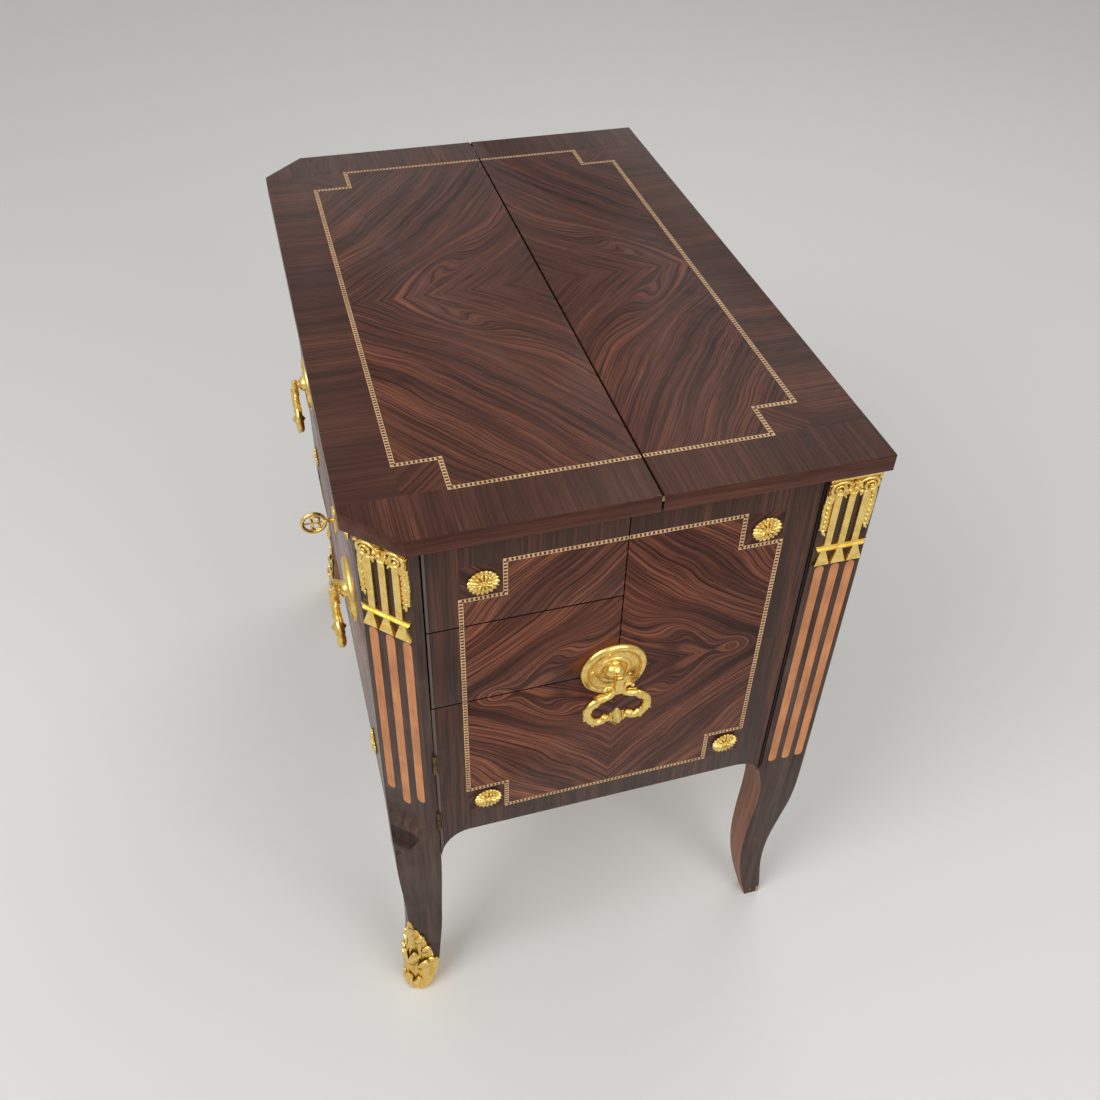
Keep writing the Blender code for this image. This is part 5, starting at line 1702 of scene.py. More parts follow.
    def leaf_place(self, face: int, away: float, rise: float, lean: float) -> Matrix:
        """Frame of a small leaf on the shoe.

        Args:
            face: Front or outer face of the leg.
            away: Distance of the leaf's root from the arris, as a share of the face.
            rise: Height of its root as a share of the shoe there.
            lean: Direction of the leaf, as an angle up from the line away from the arris.

        Returns:
            The frame, with u along the leaf and w out of the shoe.
        """
        root = Vector(self.shoe_point(face, 1.0 - away if face == 1 else away, rise))
        side = Vector((-1.0, 0.0, 0.0)) if face == 1 else Vector((0.0, 1.0, 0.0))
        out = Vector((0.0, -1.0, 0.0)) if face == 1 else Vector((1.0, 0.0, 0.0))
        along = side * math.cos(lean) + Vector((0.0, 0.0, math.sin(lean)))
        return frame_of(along, out.cross(along), out, root - out * 0.9 * MM)

    def shoe_point(self, face: int, share: float, rise: float) -> Point3:
        """Point on the shoe.

        Args:
            face: Face of the leg, counted from the inner rear corner.
            share: Place along that face.
            rise: Place from the floor to the upper edge of the leaf.

        Returns:
            The point.
        """
        away = (1.0 - share) if face == 1 else share
        leafy = face in (1, 2)
        lobe = abs(math.sin(math.pi * (4.3 * away + 0.5)))
        top = 0.0488 - 0.0075 * math.sin(math.pi * share)
        if leafy:
            top = 0.050 + 0.100 * (1 - away) ** 1.25 - 0.012 * (1 - lobe) * (1 - 0.55 * away)
        z = top * rise
        x0, x1, y0, y1 = self.corners(z)
        loop = [(x0, y1), (x0, y0), (x1, y0), (x1, y1)]
        a, b = loop[face], loop[(face + 1) % 4]
        middle = Vector(((x0 + x1) / 2, (y0 + y1) / 2))
        spot = Vector((a[0] + (b[0] - a[0]) * share, a[1] + (b[1] - a[1]) * share)) - middle
        relief = 1.0 * MM
        if leafy:
            fold = 0.5 + 0.5 * math.cos(math.tau * 4.3 * away - 3.0 * (1 - rise))
            relief += (1.2 * math.exp(-(away / 0.06) ** 2) + 0.9 * fold * stepped(0.10, 0.45, rise)) * MM
            toes = 0.5 + 0.5 * math.cos(math.tau * away / 0.21)
            relief += 2.2 * toes * math.exp(-((z - 0.013) / 0.010) ** 2) * (1 - stepped(0.45, 0.70, away)) * MM
        near = max(0.0, 1 - min(share, 1 - share) / 0.10)
        flat = Vector(((-1.0, 0.0), (0.0, -1.0), (1.0, 0.0), (0.0, 1.0))[face])
        low = 1.0 - stepped(0.008, 0.047, z)
        way = (flat * (1 - near) + spot.normalized() * near).normalized().lerp(spot.normalized(), low)
        half = Vector(((x1 - x0) / 2, (y1 - y0) / 2))
        turn = math.atan2(spot.y / half.y, spot.x / half.x)
        swell = Vector((math.cos(turn) * half.x * (1.42 if spot.x > 0.0 else 1.0), math.sin(turn) * half.y * 1.06))
        spot = spot.lerp(swell, low) + way * relief
        spot = spot * (0.80 + 0.20 * math.sqrt(1 - (1 - min(z / 0.012, 1.0)) ** 2))
        return (middle.x + spot.x, middle.y + spot.y, z)


class Chute:
    """Gilt triglyph mount: scrolled head, two falls of leaves, three bars, fillet and three drops."""

    def __init__(self, bench: Workbench) -> None:
        """Make the mount once; each post gets a copy."""
        shape = Shape(MM)
        for u in (-18.2, 0.0, 18.2):
            self.drop(shape, u)
        self.fillet(shape)
        bar = Shape(MM).slab((-3.8, -27.5), (3.8, 40.0), 3.7, 0.7)
        wire = in_metres([(-15.3, 0, 0), (15.3, 0, 0)])
        shape.add(bench.copies(bench.runs, bar, GILT, [wire], Pitch=15.2 * MM), shift(0, 54.0))
        self.falls(bench, shape)
        self.head(bench, shape)
        self.mesh = shape.merged().as_mesh("chute")

    def drop(self, shape: Shape, u: float) -> None:
        """Add one drop, wide and proud at its foot; the middle one is screwed on.

        Args:
            shape: Shape of the mount.
            u: Middle of the drop.
        """
        foot, tip = 8.7, 2.8
        rows = ((foot, foot, 0.0, 0.0, 4.6), (foot, foot * 0.94, 1.0, 1.2, 5.3), (tip, tip * 0.8, 20.5, 20.5, 2.4))
        shape.rings([[(u - back, v, 0.0), (u + back, v, 0.0), (u + face, rise, w), (u - face, rise, w)]
                     for back, face, v, rise, w in rows])
        if u == 0.0:
            screw = Shape(MM).turned(((2.2, -0.6), (2.2, 0.5), (1.6, 0.9), (0.0, 1.0)), 16)
            shape.add(screw.merged(), shift(u, 9.5, 3.9))

    def fillet(self, shape: Shape) -> None:
        """Add the fillet with its pointed ends."""
        shape.prism(((-24.5, 19.8), (24.5, 19.8), (26.4, 22.0), (28.3, 27.4), (25.2, 26.6), (-25.2, 26.6),
                     (-28.3, 27.4), (-26.4, 22.0)), 0.0, 3.4)
        shape.prism(((-25.2, 20.2), (25.2, 20.2), (26.3, 22.2), (-26.3, 22.2)), 3.4, 4.6)

    def falls(self, bench: Workbench, shape: Shape) -> None:
        """Add the two falls of leaves beside the bars.

        Args:
            bench: Shared tools.
            shape: Shape of the mount.
        """
        leaf = Shape(MM).leaf(5.4, 3.6, 1.3, 0.6, rows=5)
        runs = [[(s * 23.4, 93.0, 2.5), (s * 23.8, 70.0, 2.6), (s * 23.2, 45.5, 2.2)] for s in (-1, 1)]
        wires = [in_metres(run) for run in runs]
        shape.add(bench.copies(bench.runs, leaf, GILT, wires, Pitch=3.0 * MM, Sway=0.36, Spread=0.25))
        for run in runs:
            head, middle, foot = (Vector(p) for p in run)
            path = [head.lerp(middle, i / 12) for i in range(12)] + [middle.lerp(foot, i / 12) for i in range(13)]
            radii = [4.1 + 0.6 * math.sin(math.pi * i / 24) for i in range(24)] + [1.8]
            body = Shape(MM).tube([(p.x, p.y, 0.0) for p in path], radii, 14, ribs=0.10, rib_count=17.0)
            shape.add(body.merged(), Matrix.Diagonal((1.0, 1.0, 0.66, 1.0)))

    def head(self, bench: Workbench, shape: Shape) -> None:
        """Add the head: ledge, two volutes, flower and the leaves below them.

        Args:
            bench: Shared tools.
            shape: Shape of the mount.
        """
        shape.prism(((-26.6, 91.0), (26.6, 91.0), (27.4, 112.0), (-27.4, 112.0)), 0.0, 1.2)
        shape.slab((-27.6, 111.4), (27.6, 116.2), 3.4, 0.9)
        for s in (-1, 1):
            path = [(s * u, v, 2.6) for u, v in ((3.0, 105.0), (7.5, 108.2), (12.0, 109.8))]
            for i in range(53):
                angle = math.radians(100.0 - 12.0 * i)
                reach = 9.0 - 0.138 * i
                path.append((s * (17.2 + math.cos(angle) * reach), 101.2 + math.sin(angle) * reach * 0.95,
                             2.6 + 1.6 * i / 52))
            shape.tube(path, [2.1 - 0.018 * i for i in range(len(path))], 10)
            shape.ball((s * 17.2, 101.2, 4.2), 2.1)
            for u, v, angle, length in ((24.6, 96.5, -100, 9.5), (21.0, 94.6, -84, 8.5), (16.4, 94.0, -72, 7.5),
                                        (11.0, 95.6, -118, 8.0), (25.0, 108.0, 12, 4.0)):
                leaf = Shape(MM).leaf(length, 5.0, 2.0, 1.0)
                shape.add(leaf.merged(), shift(s * u, v, 1.6, angle if s > 0 else 180 - angle))
        for angle, length in ((-90, 10.5), (-62, 8.0), (-118, 8.0)):
            shape.add(Shape(MM).leaf(length, 4.6, 2.0, 1.0).merged(), shift(0, 98.0, 1.4, angle))
        petal = Shape(MM).leaf(5.6, 4.6, 1.8, 0.8, rows=7, blunt=True)
        shape.add(bench.copies(bench.ring, petal, GILT, Count=8, Radius=2.0 * MM), shift(0, 101.8, 2.4))
        shape.ball((0.0, 101.8, 4.6), 2.5)

    def place(self, bench: Workbench, node: str, frame: Matrix, side: Side, body: str) -> Piece:
        """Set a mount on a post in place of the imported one.

        Args:
            bench: Shared tools.
            node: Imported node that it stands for.
            frame: Frame of its foot on the post.
            side: Half of the desk.
            body: Body that it rides on.

        Returns:
            The piece.
        """
        shape = Shape().add(self.mesh, frame).sided(side)
        back = frame.inverted()

        def depth(point: Vector) -> float:
            """Hollow share from the height above the post."""
            local = back @ Vector((point.x * side.value, point.y, point.z))
            return min(max(0.95 - local.z / (2.5 * MM), -0.1), 0.9)

        return bench.hang(bench.gild(f"{node}_mount", shape, 38.0, 1.5, depth), body, "gilt", node)


@dataclass
class RingHandle:
    """Dished plate with boss and lug, and the bail that swings from it."""

    radius: float = 36.5 * MM
    pivot: Point2 = (19.8 * MM, -13.0 * MM)

    def build(self, bench: Workbench, name: str, frame: Matrix, side: Side, bodies: tuple[str, str]) -> None:
        """Make and hang plate and bail.

        Args:
            bench: Shared tools.
            name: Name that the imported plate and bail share.
            frame: Frame of the plate's middle.
            side: Half of the desk.
            bodies: Body of the plate and body of the bail.
        """
        self.plate(bench, f"{name}_plate", frame, side, bodies[0])
        self.bail(bench, f"{name}_bail", seat(frame, 0.0, self.pivot[1], self.pivot[0]), side, bodies[1])

    def plate(self, bench: Workbench, node: str, frame: Matrix, side: Side, body: str) -> None:
        """Make and hang the plate.

        Args:
            bench: Shared tools.
            node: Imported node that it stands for.
            frame: Frame of its middle.
            side: Half of the desk.
            body: Body that it rides on.
        """
        shape = Shape(MM).turned((
            (36.5, -0.2), (36.5, 1.6), (36.1, 3.2), (35.0, 4.7), (33.2, 5.6), (31.2, 5.9), (29.6, 5.5), (28.6, 4.6),
            (28.2, 3.6), (27.2, 3.2), (24.5, 2.9), (20.5, 2.9), (19.0, 3.3), (18.4, 4.3), (17.2, 4.9), (15.4, 5.0),
            (13.8, 4.7), (12.9, 4.0), (11.6, 3.8), (10.9, 4.4), (10.7, 6.2), (10.0, 8.4), (8.4, 10.6), (6.0, 12.4),
            (4.2, 13.4), (3.9, 14.4), (3.9, 16.0), (0.0, 16.4)), 72)
        lug = Shape(MM).box((-4.3, -17.6, 14.6), (4.3, 4.6, 22.6))
        lug.rings([[(-u, v, low), (u, v, low), (u, v, high), (-u, v, high)]
                   for u, v, low, high in ((3.6, 4.6, 15.4, 21.8), (2.2, 7.0, 16.4, 20.4))])
        block = bench.ease(bench.piece("lug", lug.merged(), GILT), 0.7 * MM)
        shape.add(block.data)
        bpy.data.objects.remove(block)
        for angle in (106.0, 180.0, 322.0):
            screw = Shape(MM).turned(((2.7, -0.3), (2.7, 0.6), (2.2, 1.1), (0.0, 1.3)), 16)
            shape.add(screw, shift(0, 0, 0, angle) @ shift(23.6, 0, 2.8))
        shape.merged().moved(frame).sided(side)
        middle = frame.to_translation()
        middle.x *= side.value

        def depth(point: Vector) -> float:
            """Hollow share in the dish."""
            away = (point - middle).length / self.radius
            return 0.24 if 0.50 < away < 0.79 else 0.0

        bench.hang(bench.gild(f"{node}_gilt", shape, 35.0, 1.6, depth), body, "gilt", node)

    def bail(self, bench: Workbench, node: str, frame: Matrix, side: Side, body: str) -> None:
        """Make and hang the bail.

        Args:
            bench: Shared tools.
            node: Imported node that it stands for.
            frame: Frame whose origin is the pivot.
            side: Half of the desk.
            body: Body that it rides on.
        """
        shape = Shape(MM)
        for s in (-1, 1):
            self.arm(shape, s)
        shape.tube([(u, 0, 0) for u in (-6.5, -4.0, 4.0, 6.5)], [1.6] * 4, 10)
        self.knop(shape)
        shape.merged().moved(frame).sided(side)
        bench.hang(bench.gild(f"{node}_gilt", shape, 42.0, 2.2), body, "gilt", node)

    def arm(self, shape: Shape, s: int) -> None:
        """Add one arm with its hook, leaf tips and volute.

        Args:
            shape: Shape of the bail.
            s: Side of the arm, one or minus one.
        """
        centre = ((5.6, -0.6), (6.4, -3.8), (9.2, -6.6), (13.6, -8.0), (19.0, -9.6), (24.6, -12.6), (30.6, -19.0),
                  (32.8, -24.4), (33.2, -29.2), (32.4, -34.0), (30.0, -38.8), (26.6, -42.6), (22.0, -45.0),
                  (17.6, -45.4), (14.2, -44.0), (11.6, -41.2), (10.8, -38.4))
        points = self.smooth([(s * u, v, 0.0) for u, v in centre], 4)
        count = len(points)
        radii = [2.2 + 2.5 * math.sin(math.pi * min(1.0, 0.04 + 0.92 * i / count)) ** 0.8 for i in range(count)]
        shape.tube(points, radii, 14, ribs=0.16, rib_count=11.0)
        shape.ball((s * 13.6, -40.4, 0.6), 5.0)
        hook = ((5.6, -1.8), (5.7, 1.4), (7.0, 4.6), (10.0, 6.6), (13.2, 6.2), (15.4, 4.2))
        bend = self.smooth([(s * u, v, 0.0) for u, v in hook], 4)
        shape.tube(bend, [2.3 - 0.5 * i / len(bend) for i in range(len(bend))], 10)
        shape.ball((s * 15.2, 3.8, 0.2), 2.5)
        for u, v, angle, length in ((20.5, -12.0, -55, 8.5), (30.2, -20.4, -20, 7.0), (33.8, -31.0, -62, 7.5),
                                    (28.6, -43.6, -118, 7.0), (22.0, -9.6, 35, 5.0)):
            shape.add(Shape(MM).leaf(length, 5.2, 2.0, 0.8), shift(s * u, v, 1.6, angle if s > 0 else 180 - angle))

    def knop(self, shape: Shape) -> None:
        """Add the knop, square in its middle, with its collars."""
        rows = [(15.0, 2.8), (8.4, 3.2), (7.6, 8.2), (5.8, 9.2), (5.0, 7.6), (1.0, 14.4)]
        rings = []
        for u, radius in [(-u, radius) for u, radius in rows] + rows[::-1]:
            square = abs(u) < 8.0
            ring = []
            for c, s in around(1.0, 16):
                reach = radius / (abs(c) + abs(s)) if square else radius
                ring.append((u, -44.6 + reach * s, reach * c * (0.60 if square else 0.9)))
            rings.append(ring)
        shape.rings(rings)

    @staticmethod
    def smooth(points: Sequence[Point3], steps: int) -> list[Vector]:
        """Smooth line.

        Args:
            points: Points that it runs through.
            steps: Steps from each point to the next.

        Returns:
            The finer points.
        """
        line = [Vector(p) for p in points]
        fine = []
        for i in range(len(line) - 1):
            before = line[max(i - 1, 0)]
            after = line[min(i + 2, len(line) - 1)]
            a, b = line[i], line[i + 1]
            for k in range(steps):
                t = k / steps
                fine.append(0.5 * (2 * a + (b - before) * t + (2 * before - 5 * a + 4 * b - after) * t * t
                                   + (3 * a - before - 3 * b + after) * t * t * t))
        fine.append(line[-1])
        return fine


@dataclass
class DoorBoards:
    """Front board of one door with stringing and rosettes."""

    side: Side
    board: float = BOARD
    half: Point2 = FRONT_FIELD
    middle: float = FIELD_Z
    notch: float = NOTCH
    run: float = BRACKET_RUN
    drop: float = FRONT_DROP
    gaps: Point2 = (0.5 * MM, 0.3 * MM)
    keyhole: float = 3.0 * MM
    rosette_x: float = 0.2695

    def build(self, bench: Workbench, rosette: Rosette) -> None:
        """Make and hang the board and what is on it.

        Args:
            bench: Shared tools.
            rosette: Flower for the corners.
        """
        hand = self.side.hand
        body = f"{hand}_door"
        inner, outer = self.gaps[0], POST_X - self.gaps[1]
        outline = [(inner, APRON_Z), (inner, DOOR_TOP), (outer, DOOR_TOP)]
        outline += bracket((outer, APRON_Z), self.run, self.drop, 1)[::-1]
        shape = Shape().prism(outline[::-1], -self.board, 0.0).moved(FRONT_FRAME).sided(self.side).merged()
        piece = bench.piece(f"{hand}_door_board", shape, FRONT_VENEER, EDGE_PAINTED_SHADE, OAK_Z)
        if self.side is Side.RIGHT:
            (x, z), r = KEY_SPOT, self.keyhole
            bench.cut(piece, [(Vector((x - r, BODY_FRONT - 0.01, z - r)), Vector((x + r, BODY_FRONT + 0.03, z + r)))])
        bench.ease(piece, 0.6 * MM)
        # Narrow edges get the painted shade of the gaps round the door.
        bench.face_finish(piece, lambda n, _: 0 if n.y < -0.6 else (2 if n.y > 0.9 else 1))
        bench.hang(piece, body, "veneer", f"{hand}_door_panel")
        u, v = self.half
        n = self.notch
        z0, z1 = self.middle - v, self.middle + v
        start = self.gaps[0] + 0.2 * MM
        run = [(start, z1), (u - n, z1), (u - n, z1 - n), (u, z1 - n), (u, z0 + n), (u - n, z0 + n), (u - n, z0),
               (start, z0)]
        piece = Stringing().build(bench, f"{hand}_door_stringing", run, FRONT_FRAME, self.side)
        bench.hang(piece, body, "veneer")
        for row, z in ROSETTE_ROWS.items():
            name = f"{hand}_door_rosette_{row}"
            rosette.place(bench, name, seat(FRONT_FRAME, self.rosette_x, z), self.side, body)


@dataclass
class KeyAndLock:
    """Key with a pierced bow, keyhole plate and the lock behind the doors."""

    x: float = KEY_SPOT[0]
    z: float = KEY_SPOT[1]
    bow: float = 12.7 * MM

    def build(self, bench: Workbench) -> None:
        """Make and hang key, plate and lock."""
        self.make_key(bench)
        self.make_plate(bench)
        for node in ("lock_case", "lock_keeper", "lock_bolt"):
            bench.eased_node(node, IRON, "steel", 0.4 * MM)

    def make_key(self, bench: Workbench) -> None:
        """Make the key: ring bow with scrolls, collar, stem."""
        low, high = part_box("key")
        shape = Shape()
        front = low.y + self.bow + 1.9 * MM
        reach = self.bow * 1.12
        self.hoop(shape, [(self.x, front + y, self.z + z) for y, z in around(reach, 48)], 2.5 * MM)
        for s in (-1, 1):
            path = []
            for i in range(25):
                angle = math.radians(-60 + 12.5 * i)
                curl = (6.0 - 0.12 * i) * MM
                path.append((self.x, front + 1.0 * MM + math.cos(angle) * curl * 1.1,
                             self.z + s * (5.8 * MM + math.sin(angle) * curl)))
            shape.tube(path, [1.8 * MM] * 25, 8)
        shape.tube([(self.x, front - self.bow, self.z), (self.x, front + self.bow, self.z)], [1.2 * MM] * 2, 8)
        collar = front + self.bow
        stem = [(collar - 1.0 * MM, 2.6), (collar + 1.2 * MM, 3.6), (collar + 2.6 * MM, 3.7), (collar + 3.2 * MM, 2.4),
                (BODY_FRONT - 2.6 * MM, 2.3), (BODY_FRONT - 2.0 * MM, 1.95), (high.y, 1.95)]
        shape.tube([(self.x, y, self.z) for y, _ in stem], [r * MM for _, r in stem], 16)
        bench.hang(bench.gild("key_piece", shape.merged(), 45.0, 1.6), "key_turn", "steel", "key")

    @staticmethod
    def hoop(shape: Shape, ring: Sequence[Point3], radius: float) -> None:
        """Add a closed ring of round wire.

        Args:
            shape: Shape of the key.
            ring: Middle line of the wire.
            radius: Its radius.
        """
        rings = []
        count = len(ring)
        for i, p in enumerate(ring):
            ahead = (Vector(ring[(i + 1) % count]) - Vector(ring[i - 1])).normalized()
            out = Vector((1.0, 0.0, 0.0))
            other = ahead.cross(out)
            rings.append([Vector(p) + (out * c + other * s) * radius for c, s in around(1.0, 12)])
        shape.rings(rings, capped=False)

    def make_plate(self, bench: Workbench) -> None:
        """Make the oval keyhole plate with a beaded rim."""
        oval = arc((0.0, 0.0), (12.0, 21.0), 0.0, 360.0, 48)[:-1]
        hole = around(2.9, 48)
        rows = ((oval, 1.0, 1.0, 0.05), (oval, 0.99, 0.99, 1.3), (oval, 0.86, 0.90, 1.9), (oval, 0.80, 0.86, 1.2),
                (hole, 1.5, 1.5, 1.3), (hole, 1.0, 1.0, 1.2), (hole, 1.0, 1.0, 0.05))
        shape = Shape(MM).rings([[(u * wide, v * tall, w) for u, v in ring] for ring, wide, tall, w in rows],
                                capped=False)
        bead = Shape(MM).ball((0, 0, 0), 0.8, 5)
        loop = in_metres([(u * 0.93, v * 0.95, 1.7) for u, v in oval])
        shape.add(bench.copies(bench.runs, bead, GILT, [loop + loop[:1]], Pitch=1.9 * MM))
        shape.merged().moved(seat(FRONT_FRAME, self.x, self.z))
        bench.hang(bench.gild("keyhole_plate", shape, 40.0, 1.8), "right_door", "gilt", "key_escutcheon")


@dataclass
class Carcass:
    """Inside of the desk: carcass boards, drawers, writing bed, hinges, back."""

    boards: tuple[str, ...] = ("bottom_board", "partition", "lower_deck", "upper_deck", "inner_front")
    back_boards: int = 3

    def build(self, bench: Workbench) -> None:
        """Make and hang the inner pieces."""
        for node in self.boards:
            bench.eased_node(node, OAK_X, "oak")
        for side in Side:
            for tier in TIERS:
                bench.eased_node(f"{side.hand}_{tier}_drawer_box", OAK_X, "oak", 0.8 * MM)
                self.dovetails(bench, side, tier)
            for place in TIERS:
                for flap in FLAPS:
                    bench.eased_node(f"{side.hand}_{place}_hinge_{flap}", BRONZE, "brass", 0.3 * MM)
            for node in ("rear_leaf_hinge_plate", "front_leaf_hinge_plate", "leaf_hinge_link"):
                bench.eased_node(f"{side.hand}_{node}", BRASS, "brass", 0.3 * MM)
        bench.eased_node("writing_bed", EDGE_X, "veneer")
        self.leather(bench)
        self.back(bench)

    def dovetails(self, bench: Workbench, side: Side, tier: str) -> None:
        """Make the pins of the drawer front that show between the tails of a drawer's sides.

        Args:
            bench: Shared tools.
            side: Half of the desk.
            tier: Upper or lower drawer.
        """
        low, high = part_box(f"right_{tier}_drawer_box")
        shape = Shape()
        margin, pitch = 0.011, 0.021
        run = [[(low.z + margin, 0.0, 0.0), (high.z - margin, 0.0, 0.0)]]
        for y, out in ((low.y, -1), (high.y, 1)):
            outline = [(-2.0, -out * 9.0), (2.0, -out * 9.0), (4.6, 0.0), (-4.6, 0.0)][::out]
            pins = bench.copies(bench.runs, Shape(MM).prism(outline, -0.3, 0.10), OAK_END, run, Pitch=pitch)
            shape.add(pins, frame_of((0, 0, 1), (out, 0, 0), (0, out, 0), (high.x, y, 0.0)))
            bpy.data.meshes.remove(pins)
        piece = bench.piece(f"{side.hand}_{tier}_drawer_dovetails", shape.sided(side), OAK_END)
        bench.hang(piece, f"{side.hand}_{tier}_drawer", "oak")

    def leather(self, bench: Workbench) -> None:
        """Make the leather with its gilt tooling."""
        low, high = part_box("bed_leather")
        shape = Shape().box(low, high)
        piece = bench.ease(bench.piece("bed_leather_sheet", shape, LEATHER), 0.4 * MM)
        bench.hang(piece, "case", "leather", "bed_leather")
        tooling = Shape()
        z = high.z + 0.01 * MM
        for inset, width in ((9.0, 0.9), (21.0, 1.6), (24.0, 0.6)):
            x0, y0, x1, y1 = self.border(low, high, inset * MM)
            w = width * MM
            for a, b in (((x0, y0), (x1, y0 + w)), ((x0, y1 - w), (x1, y1)), ((x0, y0 + w), (x0 + w, y1 - w)),
                         ((x1 - w, y0 + w), (x1, y1 - w))):
                tooling.box((*a, z - 0.1 * MM), (*b, z + 0.04 * MM))
        sprig = Shape()
        for angle in (-55, 0, 55):
            sprig.add(Shape(MM).leaf(3.2, 1.7, 0.10, rows=4, columns=2), shift(0, 0, 0, angle))
        x0, y0, x1, y1 = self.border(low, high, 15.0 * MM)
        corners = [(x0, y0, z), (x1, y0, z), (x1, y1, z), (x0, y1, z)]
        sides = list(zip(corners, corners[1:] + corners[:1]))
        tooling.add(bench.copies(bench.runs, sprig, GILT, sides, Pitch=7.0 * MM))
        piece = bench.piece("bed_tooling", tooling, WORN_GILT)
        bench.hang(piece, "case", "gilt")

    @staticmethod
    def border(low: Vector, high: Vector, inset: float) -> tuple[float, float, float, float]:
        """Lesser x and y and greater x and y of a border on the leather."""
        return low.x + inset, low.y + inset, high.x - inset, high.y - inset

    def back(self, bench: Workbench) -> None:
        """Make the back from upright boards with eased joints, nailed at top and foot."""
        low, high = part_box("back_panel")
        shape = Shape()
        width = (high.x - low.x) / self.back_boards
        gap = 0.2 * MM
        for i in range(self.back_boards):
            x = low.x + width * i
            shape.box((x + gap, low.y, low.z), (x + width - gap, high.y, high.z))
        piece = bench.ease(bench.piece("back_boards", shape, OAK_Z), 1.6 * MM)
        bench.hang(piece, "case", "oak", "back_panel")
        nail = Shape(MM).turned(((2.6, -0.4), (2.4, 0.3), (1.2, 0.7), (0.0, 0.8)), 8)
        reach, margin = 0.300, 0.018
        rows = [[(-reach, z, 0.0), (reach, z, 0.0)] for z in (low.z + margin, high.z - margin)]
        nails = Shape().add(bench.copies(bench.runs, nail, IRON, rows, Pitch=0.1, Spread=0.2))
        nails.moved(frame_of((-1, 0, 0), (0, 0, 1), (0, 1, 0), (0, high.y, 0)))
        bench.hang(bench.ease(bench.piece("back_nails", nails, IRON), 0.0), "case", "steel")


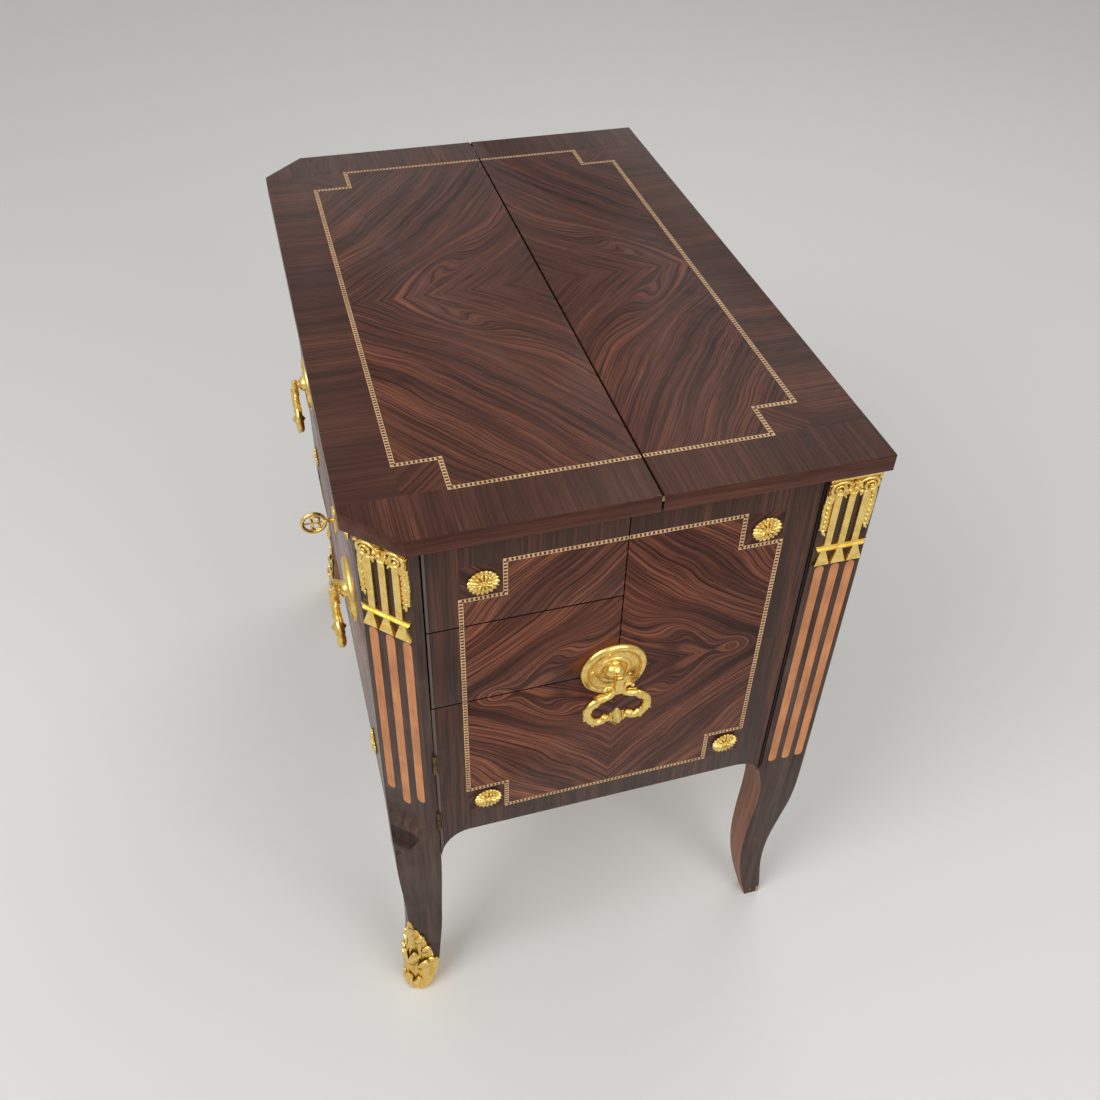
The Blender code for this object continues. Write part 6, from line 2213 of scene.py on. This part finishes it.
@dataclass
class Studio:
    """Floor, lamps, world and camera."""

    eye: Point3 = (1.08520, -0.29584, 1.45880)
    turns: Point3 = (1.2615, 0.8674, 0.0365)
    focal: float = 1119.18
    middle: Point2 = (560.0, 480.0)
    image: float = 1100.0
    sensor: float = 36.0
    lamps: tuple[tuple[str, Point3, float, float], ...] = (
        ("key_lamp", (1.2, -2.2, 2.7), 1.8, 48.0), ("fill_lamp", (2.7, 1.0, 2.0), 1.6, 26.0),
        ("back_lamp", (-1.6, 1.6, 3.0), 1.8, 14.0))
    sky: float = 0.48
    dome: Point2 = (0.58, 1.05)
    white: Colour = (0.93, 0.93, 0.925)
    reach: float = 20.0

    def build(self, bench: Workbench) -> None:
        """Set the stage."""
        r = self.reach
        shape = Shape().faces([(-r, -r, 0), (r, -r, 0), (r, r, 0), (-r, r, 0)], [(0, 1, 2, 3)])
        floor = bench.piece("studio_floor", shape, FLOOR)
        for name, place, size, power in self.lamps:
            light = bpy.data.lights.new(name, "AREA")
            light.size = size
            light.energy = power
            lamp = bpy.data.objects.new(name, light)
            lamp.location = place
            lamp.rotation_euler = (Vector((0.0, 0.0, 0.5)) - Vector(place)).to_track_quat("-Z", "Y").to_euler()
            bpy.context.scene.collection.objects.link(lamp)
        self.light_world()
        self.set_camera()

    def light_world(self) -> None:
        """Give the world soft light, and white where it is looked at."""
        world = bpy.data.worlds.new("studio_world")
        world.use_nodes = True
        kit = NodeKit(world.node_tree)
        kit.tree.nodes.clear()
        path = kit.node("ShaderNodeLightPath")
        clear = kit.math("MAXIMUM", path.outputs["Is Camera Ray"], path.outputs["Is Transmission Ray"])
        soft = kit.node("ShaderNodeBackground", sockets={"Color": (1.0, 0.985, 0.96), "Strength": self.sky})
        white = kit.node("ShaderNodeBackground", sockets={"Color": self.white, "Strength": 1.0})
        look = kit.node("ShaderNodeSeparateXYZ", sockets={0: kit.node("ShaderNodeTexCoord").outputs["Generated"]})
        height = kit.node("ShaderNodeMapRange", sockets={
            "Value": look.outputs["Z"], "From Max": 0.9, "To Min": self.dome[0], "To Max": self.dome[1]})
        dome = kit.node("ShaderNodeBackground", sockets={"Color": self.white, "Strength": height.outputs[0]})
        lit = kit.node("ShaderNodeMixShader",
                       sockets={0: path.outputs["Is Glossy Ray"], 1: soft.outputs[0], 2: dome.outputs[0]})
        mixed = kit.node("ShaderNodeMixShader",
                         sockets={0: clear, 1: lit.outputs[0], 2: white.outputs[0]})
        kit.node("ShaderNodeOutputWorld", sockets={0: mixed.outputs[0]})
        bpy.context.scene.world = world

    def set_camera(self) -> None:
        """Place the camera at the photograph's viewing angle."""
        lens = bpy.data.cameras.new("camera")
        lens.sensor_width = self.sensor
        lens.lens = self.focal / self.image * self.sensor
        lens.shift_x = (self.image / 2 - self.middle[0]) / self.image
        lens.shift_y = (self.middle[1] - self.image / 2) / self.image
        camera = bpy.data.objects.new("camera", lens)
        turn, tilt, roll = self.turns
        matrix = (Matrix.Rotation(turn, 4, "Z") @ Matrix.Rotation(tilt, 4, "X") @ Matrix.Rotation(roll, 4, "Z"))
        matrix.translation = Vector(self.eye)
        camera.matrix_world = matrix
        bpy.context.scene.collection.objects.link(camera)
        bpy.context.scene.camera = camera
        bpy.context.scene.view_settings.view_transform = "Standard"


def main() -> None:
    """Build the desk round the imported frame, piece by piece."""
    logging.basicConfig(level=logging.INFO, format="%(name)s: %(message)s")
    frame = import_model()
    bench = Workbench(frame)
    Studio().build(bench)
    rosette = Rosette(bench)
    chute = Chute(bench)
    handle = RingHandle()
    WritingTop().build(bench)
    for side in Side:
        hand = side.hand
        EndBoards(side).build(bench, rosette)
        RearPost(side).build(bench, chute)
        FrontPost(side).build(bench, chute)
        DoorBoards(side).build(bench, rosette)
        handle.build(bench, f"{hand}_handle", seat(END_FRAME, *HANDLE_SPOT), side,
                     (f"{hand}_lower_drawer", f"{hand}_handle_swing"))
        handle.build(bench, f"{hand}_door_pull", seat(FRONT_FRAME, *PULL_SPOT), side,
                     (f"{hand}_door", f"{hand}_pull_swing"))
    KeyAndLock().build(bench)
    Carcass().build(bench)
    LOG.info("%d pieces", bench.count)


if __name__ == "__main__":
    main()
